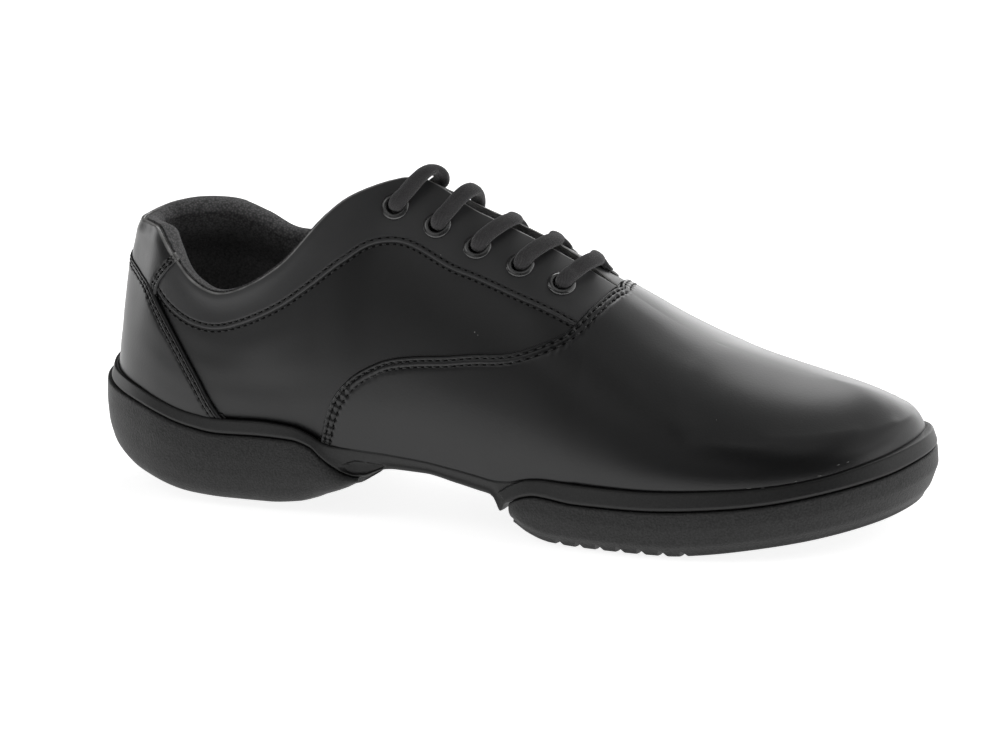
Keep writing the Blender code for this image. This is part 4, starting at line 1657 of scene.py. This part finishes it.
@dataclass
class Sole:
    """Rubber cup with its band, the heel and forefoot blocks under it, and the insole on it."""

    wall: float = 2.0
    band_top: float = 2.4
    band_foot: float = 3.6
    arch_inset: float = 2.0
    hollow: float = 1.2
    side: float = 3.8
    fit: float = 0.3
    toe_bulge: float = 1.6
    heel_bulge: float = 2.4
    heel_end: float = 0.4125
    fore_start: float = 0.5436
    fore_tread: float = -3.0
    heel_tread: float = -11.0
    fore_roll: float = 0.7
    heel_roll: float = 1.5
    tread_first: float = 182.0
    tread_pitch: float = 7.2
    tread_count: int = 7
    tread_flanks: tuple[float, float] = (-1.6, 3.8)
    tread_depth: float = 2.8
    insole: float = 3.0

    def sunk(self, x: Array, z: Array) -> Array:
        """How far the band's side stands back: along the arch, and in the hollow at the front of the heel.

        Args:
            x: places along the shoe.
            z: heights on the band.

        Returns:
            Distances inwards.
        """
        heights = (13.6, 15.3, 16.0, 18.1, 19.8, 22.2)
        border = np.interp(z, heights, (164.8, 162.9, 161.6, 164.6, 167.6, 173.4))
        arch = ramp(x, 94.0, 108.0) * (1 - ramp(x - border, -0.4, 0.4))
        roof = np.interp(x, (100.9, 104.4, 106.6, 109.5, 115.2), (18.0, 19.4, 20.2, 20.1, 19.9))
        sill = np.interp(x, (101.5, 103.2, 106.0, 110.6, 117.9), (17.0, 15.7, 15.0, 15.5, 18.6))
        ends = ramp(x, 101.0, 103.0) * (1 - ramp(x, 116.0, 119.0))
        lens = ramp(np.minimum(roof - z, z - sill), 0.0, 0.6) * ends
        return self.arch_inset * arch + self.hollow * lens

    def bulge(self, loop: Array, toe: float, heel: float) -> Array:
        """How far the sole swells out at the toe and at the heel."""
        turn = LAST.turn(loop)
        return toe * hump(turn, 1.0, 0.14) + heel * hump(turn, 0.0, 0.11)

    def rounded(self, loop: Array, profile: Sequence[tuple[Array, Array]], radius: float) -> Array:
        """Rings of a profile with rounded corners.

        Args:
            loop: places around the sole.
            profile: distance out from the feather line and height, for each corner from the top down.
            radius: of the rounding.

        Returns:
            Places by rings by 3, in millimetres.
        """
        corners = [np.stack(np.broadcast_arrays(d, z, loop)[:2], -1) for d, z in profile]
        path = [corners[0]]
        for before, corner, after in zip(corners, corners[1:], corners[2:]):
            back, on = before - corner, after - corner
            back_length = np.linalg.norm(back, axis=-1, keepdims=True) + 1e-9
            on_length = np.linalg.norm(on, axis=-1, keepdims=True) + 1e-9
            reach = np.minimum(radius, 0.45 * np.minimum(back_length, on_length))
            start, end = corner + back / back_length * reach, corner + on / on_length * reach
            for t in (0.0, 0.25, 0.5, 0.75, 1.0):
                path.append(start * (1 - t) ** 2 + corner * 2 * t * (1 - t) + end * t * t)
        path.append(corners[-1])
        rings = [np.concatenate([LAST.offset(loop, p[:, 0]), p[:, 1:]], -1) for p in path]
        return np.stack(rings, 1)

    def closed(
        self, node: str, word: str, sides: Callable[[Array], Array], turns: Array, finish: Finish
    ) -> bpy.types.Object:
        """Makes a closed piece from the rings of its two sides, filled across above and below.

        Args:
            node: the solid that it stands for, whose name begins its own.
            word: the end of its name.
            sides: gives places by rings by 3 for places around the sole.
            turns: places from one end to the other.
            finish: its finish.

        Returns:
            The piece.
        """
        lateral, medial = sides(Side.LATERAL.loops(turns)), sides(Side.MEDIAL.loops(turns))
        t = np.linspace(0, 1, 11)[1:-1, None]
        below = lateral[:, -1:] * (1 - t) + medial[:, -1:] * t
        above = medial[:, :1] * (1 - t) + lateral[:, :1] * t
        rings = np.concatenate([lateral, below, medial[:, ::-1], above, lateral[:, :1]], 1)
        body = grid_body(LAST.place(rings))
        cap(body, RUBBER_SHARP)
        return piece(f"{node}_{word}", body, finish, (node,))

    def cup_sides(self, loop: Array) -> Array:
        """Rings of the cup: its floor's edge, rim and band.

        Args:
            loop: places around the sole.

        Returns:
            Places by rings by 3, in millimetres.
        """
        x = LAST.plan(loop)[:, 0]
        top = LAST.welt(loop)
        under = LAST.sole("under", x)
        swell = self.bulge(loop, self.toe_bulge, 0.0)
        at_rim = LAST.ribs(loop, LAST.share_at(loop, top))
        lean = ((at_rim[:, :2] - LAST.plan(loop)) * LAST.outward(loop)).sum(-1)
        profile = (
            (0.35, top - LAST.rim_depth - self.fit),
            (lean + 0.9, top),
            (lean + self.band_top + swell, top),
            (self.band_foot + swell, under + 0.9),
            (self.band_foot - 0.5 + swell, under),
            (self.band_foot - 3.0 + swell, under),
        )
        rings = self.rounded(loop, profile, 0.6)
        t = np.linspace(0, 1, 16)[1:-1, None]
        face = rings[:, 10:11] * (1 - t) + rings[:, 11:12] * t
        rings = np.concatenate([rings[:, :11], face, rings[:, 11:]], 1)
        down = (top[:, None] - rings[..., 2]) / (top - under)[:, None]
        along = np.broadcast_to(x[:, None], down.shape)
        back = self.sunk(along, rings[..., 2]) * (0.5 + 0.5 * ramp(down, 0.0, 0.6))
        back[:, :6] = 0.0
        rings[..., :2] -= LAST.outward(loop)[:, None] * back[..., None]
        return rings

    def block(self, loop: Array) -> tuple[Array, Array]:
        """Heights of the blocks.

        Args:
            loop: places around the sole.

        Returns:
            Heights of the top and of the ground.
        """
        x = LAST.plan(loop)[:, 0]
        top = LAST.sole("under", x) - self.fit
        return top, np.minimum(LAST.sole("ground", x), top - 1.5)

    def heel_sides(self, loop: Array) -> Array:
        """Rings of the heel block, rounded out at the back.

        Args:
            loop: places around the sole.

        Returns:
            Places by rings by 3, in millimetres.
        """
        top, ground = self.block(loop)
        tall = top - ground
        ends = np.clip((LAST.turn(loop) - self.heel_end + 0.03) / 0.03, 0, 1) ** 2 * 2.5
        out = self.side - ends + self.bulge(loop, 0.0, self.heel_bulge)
        profile = (
            (out - 3.0, top),
            (out - 0.3, top),
            (out + 0.3, top - 0.30 * tall),
            (out + 0.1, top - 0.56 * tall),
            (out - 1.2, ground + 0.22 * tall),
            (out - 3.4, ground + 0.10 * tall),
            (0.5 * out + 0.5 * self.heel_tread, ground + np.minimum(self.heel_roll, 0.06 * tall)),
            (self.heel_tread - ends, ground),
        )
        return self.rounded(loop, profile, 1.6)

    def forefoot_sides(self, loop: Array) -> Array:
        """Rings of the forefoot block.

        Args:
            loop: places around the sole.

        Returns:
            Places by rings by 3, in millimetres.
        """
        top, ground = self.block(loop)
        tall = top - ground
        ends = np.clip((self.fore_start + 0.012 - LAST.turn(loop)) / 0.012, 0, 1) ** 2 * 1.8
        out = self.side - ends + self.bulge(loop, self.toe_bulge, 0.0)
        low = self.side - ends
        profile = (
            (out - 3.0, top),
            (out - 0.2, top),
            (out, top - 0.35 * tall),
            (low - 0.9, ground + np.minimum(4.0 + self.fore_roll, 0.42 * tall)),
            (low - 2.8, ground + np.minimum(1.5 + self.fore_roll, 0.22 * tall)),
            (0.5 * low + 0.5 * self.fore_tread, ground + np.minimum(self.fore_roll, 0.09 * tall)),
            (self.fore_tread - ends, ground),
        )
        return self.rounded(loop, profile, 0.9)

    def insole_sides(self, loop: Array) -> Array:
        """Rings of the insole.

        Args:
            loop: places around the sole.

        Returns:
            Places by rings by 3, in millimetres.
        """
        base = LAST.welt(loop) - LAST.rim_depth
        profile = (
            (-self.wall - 2.6, base + self.insole),
            (-self.wall - 0.8, base + self.insole),
            (-self.wall - 0.8, base),
            (-self.wall - 2.6, base),
        )
        return self.rounded(loop, profile, 0.9)

    def tread_bars(self) -> bmesh.types.BMesh:
        """Bars across the forefoot that the tread grooves are cut with.

        Returns:
            The bars as one body.
        """
        bars = bmesh.new()
        for k in range(self.tread_count):
            for vert in bmesh.ops.create_cube(bars, size=1.0)["verts"]:
                flank = self.tread_flanks[vert.co.x > 0] if vert.co.z < 0 else math.copysign(0.4, vert.co.x)
                height = self.tread_depth if vert.co.z > 0 else -1.0
                x = self.tread_first + k * self.tread_pitch + flank
                vert.co = LAST.place(np.array([x, vert.co.y * 140.0, height]))
        return bars

    def build(self) -> None:
        """Makes the sole's pieces."""
        whole = spread((0.0, 0.36, 0.44, 0.53, 0.572, 1.0), (0.003, 0.0013, 0.003, 0.0009, 0.003))
        report(self.closed("cup", "band", self.cup_sides, whole, Finish.BAND))
        heel = spread((0.0, 0.06, self.heel_end), (0.004, 0.004))
        report(self.closed("heel_block", "rubber", self.heel_sides, heel, Finish.BLOCK))
        fore = spread((self.fore_start, 0.57, 0.94, 1.0), (0.002, 0.004, 0.004))
        made = self.closed("forefoot_block", "rubber", self.forefoot_sides, fore, Finish.BLOCK)
        cut(made, self.tread_bars())
        crisp(made, RUBBER_SHARP)
        report(made)
        full = spread((0.0, 1.0), (0.005,))
        report(self.closed("insole", "sock", self.insole_sides, full, Finish.SOCK))


class LaceBar(NamedTuple):
    """How one lace bar lies over the throat."""

    arch: float
    sag: float
    tuck: float
    full: float


class Strand(NamedTuple):
    """One point of the lace's route, the way of its flat side, and half its width and thickness."""

    point: Array
    flat: Array
    wide: float
    thick: float


@dataclass
class Lacing:
    """Eyelets and the one lace that runs through them in bars."""

    hole: float = 2.65
    barrel: float = 3.5
    flange: float = 4.7
    seat: float = 0.56
    wide: float = 2.75
    thick: float = 1.7
    depth: float = -2.5
    hidden_wide: float = 2.0
    hidden_thick: float = 0.38
    squareness: float = 0.85
    eyelet_sides: int = 36
    bars: tuple[LaceBar, ...] = (
        LaceBar(0.9, 6.6, -2.4, 2.8),
        LaceBar(2.5, 3.8, 0.0, 2.6),
        LaceBar(-0.6, 4.2, 1.5, 2.6),
        LaceBar(-0.2, 3.0, 2.0, 2.6),
        LaceBar(1.7, 1.6, 2.0, 2.6),
    )

    def eyelets(self, side: Side) -> bpy.types.Object:
        """Rolled eyelet rings of one side.

        Args:
            side: the side of the shoe.

        Returns:
            The piece.
        """
        profile = (
            (self.hole, -1.5),
            (self.hole, self.seat + 0.1),
            (self.hole + 0.12, self.seat + 0.5),
            (self.hole + 0.45, self.seat + 0.8),
            (self.hole + 0.9, self.seat + 0.84),
            (self.flange - 0.25, self.seat + 0.6),
            (self.flange - 0.02, self.seat + 0.28),
            (self.flange, self.seat + 0.05),
            (self.flange - 0.3, self.seat - 0.1),
            (self.barrel, self.seat - 0.1),
            (self.barrel, -1.5),
        )
        rings = bmesh.new()
        for edge in EYELETS:
            centre, axis, ahead = LAST.eyelet(edge, side)
            verts = [rings.verts.new(LAST.place(centre + ahead * r + axis * h)) for r, h in profile]
            edges = [rings.edges.new((a, b)) for a, b in zip(verts, verts[1:] + verts[:1])]
            bmesh.ops.spin(
                rings,
                geom=verts + edges,
                cent=Vector(LAST.place(centre)),
                axis=Vector(axis),
                angle=2 * math.pi,
                steps=self.eyelet_sides,
                use_merge=True,
            )
        bmesh.ops.remove_doubles(rings, verts=rings.verts[:], dist=MERGE)
        bmesh.ops.recalc_face_normals(rings, faces=rings.faces[:])
        soften(rings, METAL_SHARP)
        nodes = [f"eyelet_{side.value}_{k}" for k in range(1, len(EYELETS) + 1)]
        return piece(f"eyelet_rings_{side.value}", rings, Finish.EYELET, nodes)

    def bar(self, number: int) -> list[Strand]:
        """Route of one bar from inside the lateral eyelet to inside the medial one.

        Args:
            number: of the bar, from 0 at the collar.

        Returns:
            The route.
        """
        edge, bar = EYELETS[number], self.bars[number]
        turn = edge.turn + LAST.medial_stagger / 2
        loops = np.array([turn, 2 - turn])
        ahead = unit((LAST.tops(loops + [1e-3, -1e-3]) - LAST.tops(loops)).mean(0))
        above = np.cross(ahead, [0.0, 1.0, 0.0])
        middle = LAST.tops(loops).mean(0) + above * (1.0 + self.thick + bar.arch) + ahead * bar.sag
        halves = []
        for side in Side:
            centre, axis, _ = LAST.eyelet(edge, side)
            flat = 1.0 if side is Side.LATERAL else 0.55
            inward = middle - centre
            inward = unit(inward - axis * inward.dot(axis))
            route = (
                (0.3, -1.6, 0.8, 0.6),
                (0.4, -0.2, 0.90, 1.15),
                (0.7, 0.9, 0.96, 1.3),
                (1.4, 1.9, 1.0, 1.25),
                (2.8, 2.5, 1.02, 1.1),
                (5.0, 2.6, 1.0, 1.0),
            )
            points = [centre + inward * along + axis * up * flat for along, up, _, _ in route]
            sizes = [(self.wide * w, self.thick * t * flat) for _, _, w, t in route]
            halves.append([Strand(p, ahead, w, t) for p, (w, t) in zip(points, sizes)])
        start, end = halves[0][-1].point, halves[1][-1].point
        rise = middle - (start + end) / 2
        crest = [
            start * (1 - t)
            + end * t
            + rise * (1 - abs(2 * t - 1) ** (bar.full if t < 0.5 else 1.5))
            - ahead * bar.tuck * ramp(t, 0.45, 0.8)
            for t in (0.15, 0.3, 0.5, 0.7, 0.85)
        ]
        return halves[0] + [Strand(p, ahead, self.wide, self.thick) for p in crest] + halves[1][::-1]

    def hidden(self, first: int, last: int, side: Side, dip: float) -> list[Strand]:
        """Route under the facing from one eyelet to another of the same side.

        Args:
            first: number of the eyelet that it leaves.
            last: number of the eyelet that it comes to.
            side: the side of the shoe.
            dip: change of share halfway, to pass beside the eyelets between them.

        Returns:
            The route between the two eyelets.
        """
        shift = LAST.medial_stagger if side is Side.MEDIAL else 0.0
        t = np.linspace(0.12, 0.88, 6)
        a, b = EYELETS[first], EYELETS[last]
        loop = side.loops(a.turn + (b.turn - a.turn) * t + shift)
        share = a.share + (b.share - a.share) * t + dip * np.sin(np.pi * t)
        rise = unit(LAST.tangents(loop, share)[1])
        points = LAST.skin(loop, share, self.depth)
        return [Strand(p, r, self.hidden_wide, self.hidden_thick) for p, r in zip(points, rise)]

    def lace(self) -> bpy.types.Object:
        """Bars over the throat, joined by runs under the facings, with the ends hidden at the top.

        Returns:
            The piece.
        """
        lateral, medial = Side.LATERAL, Side.MEDIAL
        route = self.hidden(0, 1, lateral, 0.05)[2:] + self.bar(1)
        route += self.hidden(1, 3, medial, -0.07) + self.bar(3)[::-1]
        route += self.hidden(3, 4, lateral, 0.0) + self.bar(4)
        route += self.hidden(4, 2, medial, 0.06) + self.bar(2)[::-1]
        route += self.hidden(2, 0, lateral, -0.07) + self.bar(0)
        return self.tube("lace", route)

    def tube(
        self, name: str, route: Sequence[Strand], sides: int = 16, step: float = 0.6
    ) -> bpy.types.Object:
        """Makes the flat cord along a route.

        Args:
            name: the piece's name.
            route: its points in order.
            sides: points around the cord.
            step: length between its rings.

        Returns:
            The cord.
        """
        points = np.array([s.point for s in route])
        lengths = lengths_along(points)
        at = np.linspace(0, lengths[-1], int(lengths[-1] / step))
        slopes = np.stack([np.gradient(points[:, k], lengths) for k in range(3)], -1)
        path = np.stack([cubic(lengths, points[:, k], slopes[:, k], at) for k in range(3)], -1)
        ahead = unit(np.gradient(path, axis=0))
        flat = np.stack([np.interp(at, lengths, [s.flat[k] for s in route]) for k in range(3)], -1)
        flat = unit(flat - ahead * (ahead * flat).sum(-1, keepdims=True))
        wide = np.interp(at, lengths, [s.wide for s in route])[:, None, None]
        thick = np.interp(at, lengths, [s.thick for s in route])[:, None, None]
        angle = np.linspace(0, 2 * np.pi, sides + 1)
        around_x, around_y = (
            (np.sign(wave) * np.abs(wave) ** self.squareness)[None, :, None]
            for wave in (np.cos(angle), np.sin(angle))
        )
        skin = path[:, None] + flat[:, None] * wide * around_x
        skin = skin + np.cross(ahead, flat)[:, None] * thick * around_y
        uv = np.stack(np.broadcast_arrays(at[:, None] * MM, angle[None, :] / (2 * np.pi)), -1)
        body = grid_body(LAST.place(skin), uv)
        cap(body, CORD_SHARP)
        return piece(name, body, Finish.LACE, [f"lace_bar_{k}" for k in range(1, len(EYELETS) + 1)])

    def build(self) -> None:
        """Makes the eyelets and the lace."""
        for side in Side:
            report(self.eyelets(side))
        report(self.lace())


class Fleck(NamedTuple):
    """A fleck on the leather: its place, its height above the upper, half its length and half its width."""

    turn: float
    share: float
    lift: float
    long: float
    wide: float


@dataclass
class Marks:
    """Dust and light scuffs on the outer side, most of them along the feather line of the toe."""

    high: float = 0.12
    flecks: tuple[Fleck, ...] = (
        Fleck(0.5163, 0.475, 0.05, 0.26, 0.22),
        Fleck(0.5190, 0.468, 0.05, 0.18, 0.14),
        Fleck(0.4800, 0.712, 0.60, 0.26, 0.20),
        Fleck(0.7271, 0.418, 1.35, 0.14, 0.12),
        Fleck(0.7535, 0.054, 1.35, 0.90, 0.10),
        Fleck(0.7667, 0.050, 1.35, 0.70, 0.12),
        Fleck(0.8004, 0.066, 1.35, 0.50, 0.14),
        Fleck(0.8257, 0.074, 1.35, 0.80, 0.10),
        Fleck(0.8485, 0.118, 1.35, 0.60, 0.10),
        Fleck(0.8605, 0.120, 1.35, 0.50, 0.12),
        Fleck(0.9300, 0.075, 1.35, 0.45, 0.12),
    )

    def build(self) -> None:
        """Makes the flecks."""
        body = bmesh.new()
        for fleck in self.flecks:
            loop, share = np.array([fleck.turn]), np.array([fleck.share])
            centre = LAST.place(LAST.skin(loop, share, fleck.lift))[0]
            along = unit(LAST.tangents(loop, share)[0])[0]
            sew(body, centre, along, LAST.normals(loop, share)[0], (fleck.long, fleck.wide, self.high))
        soften(body, GRAIN_SHARP)
        report(piece("dust_flecks", body, Finish.DUST))


class Lamp(NamedTuple):
    """A soft light panel: its direction from the shoe in degrees, its sizes and its brightness."""

    name: str
    azimuth: float
    elevation: float
    width: float
    height: float
    bright: float


@dataclass
class Studio:
    """Camera, lights and floor."""

    target: tuple[float, float, float] = (146.0, 0.0, 45.0)
    azimuth: float = 25.0
    elevation: float = 16.0
    roll: float = -2.9
    distance: float = 1300.0
    focal: float = 3939.6
    frame_width: float = 1000.0
    sensor: float = 36.0
    offset: tuple[float, float] = (4.25, 8.12)
    room: float = 0.02
    glow: float = 0.85
    floor_half: float = 6.0
    reach: float = 3.0
    lamps: tuple[Lamp, ...] = (
        Lamp("heel_low", 180.0, 10.0, 1.58, 1.06, 2.90),
        Lamp("front_low", -120.0, 10.0, 1.58, 1.06, 0.50),
        Lamp("toe_low", 0.0, 9.0, 1.58, 1.30, 1.45),
        Lamp("corner_low", 30.0, 9.0, 1.58, 1.30, 1.30),
        Lamp("side_low", 60.0, 9.0, 1.58, 1.30, 1.55),
        Lamp("back_low", 90.0, 10.0, 1.58, 1.06, 2.74),
        Lamp("back_mid", 90.0, 30.0, 1.39, 1.06, 2.50),
        Lamp("toe_mid", 0.0, 30.0, 1.39, 1.06, 0.65),
        Lamp("corner_mid", 30.0, 30.0, 1.39, 1.06, 1.15),
        Lamp("side_mid", 60.0, 30.0, 1.39, 1.06, 0.90),
        Lamp("front_mid", -105.0, 30.0, 3.00, 1.06, 0.27),
        Lamp("back_high", 108.0, 51.0, 1.23, 1.17, 4.00),
        Lamp("side_high", 36.0, 51.0, 5.20, 1.17, 0.68),
        Lamp("front_high", -108.0, 51.0, 1.23, 1.17, 0.50),
        Lamp("heel_high", -144.0, 51.0, 1.23, 1.17, 0.90),
        Lamp("top_front", -90.0, 71.0, 3.38, 0.95, 0.37),
        Lamp("top", 30.0, 78.0, 2.20, 1.60, 0.37),
    )

    def camera(self) -> None:
        """Camera at the photograph's angle."""
        a, e, r = (math.radians(v) for v in (self.azimuth, self.elevation, self.roll))
        right = Vector((math.cos(a), math.sin(a), 0.0))
        back = Vector((math.sin(a) * math.cos(e), -math.cos(a) * math.cos(e), math.sin(e)))
        up = back.cross(right)
        across = right * math.cos(r) + up * math.sin(r)
        above = up * math.cos(r) - right * math.sin(r)
        lens = bpy.data.cameras.new("camera")
        lens.sensor_width = self.sensor
        lens.lens = self.sensor * self.focal / self.frame_width
        lens.shift_x = -self.offset[0] / self.frame_width
        lens.shift_y = -self.offset[1] / self.frame_width
        made = linked("camera", lens)
        centre = Vector(LAST.place(np.array(self.target))) + back * self.distance * MM
        made.matrix_world = stand((across, above, back), centre)
        bpy.context.scene.camera = made

    def light(self, lamp: Lamp) -> None:
        """Sets up one light.

        Args:
            lamp: its place and strength.
        """
        area = bpy.data.lights.new(lamp.name, "AREA")
        area.shape = "RECTANGLE"
        area.size, area.size_y = lamp.width, lamp.height
        area.energy = math.pi * lamp.width * lamp.height * lamp.bright
        made = linked(lamp.name, area)
        a, e = math.radians(lamp.azimuth), math.radians(lamp.elevation)
        away = Vector((math.cos(a) * math.cos(e), math.sin(a) * math.cos(e), math.sin(e)))
        made.location = away * self.reach
        made.rotation_euler = (-away).to_track_quat("-Z", "Y").to_euler()

    def floor(self) -> None:
        """White floor that glows a little from below."""
        ground = bmesh.new()
        bmesh.ops.create_grid(ground, x_segments=1, y_segments=1, size=self.floor_half)
        mesh = mesh_of("floor", ground)
        nodes = Nodes("floor_white")
        nodes.set(Base_Color=(0.8, 0.8, 0.8, 1.0), Roughness=0.9, Specular_IOR_Level=0.1)
        nodes.set(Emission_Color=(1.0, 1.0, 1.0, 1.0), Emission_Strength=self.glow)
        mesh.materials.append(nodes.material)
        linked("floor", mesh)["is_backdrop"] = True

    def build(self) -> None:
        """Sets the stage."""
        self.camera()
        self.floor()
        world = bpy.data.worlds.new("studio")
        world.use_nodes = True
        sky = world.node_tree.nodes["Background"]
        sky.inputs["Color"].default_value = (1.0, 1.0, 1.0, 1.0)
        sky.inputs["Strength"].default_value = self.room
        bpy.context.scene.world = world
        for lamp in self.lamps:
            self.light(lamp)
        bpy.context.scene.view_settings.view_transform = "Standard"


def corners() -> list[list[float]]:
    """The shown object's lowest and highest corner."""
    return [list(corner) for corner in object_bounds()]


def main() -> None:
    """Dresses the shoe and sets the stage."""
    logging.basicConfig(level=logging.INFO, format="%(message)s")
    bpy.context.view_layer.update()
    Studio().build()
    Lacing().build()
    Upper().build()
    Sole().build()
    Marks().build()


if __name__ == "__main__":
    main()
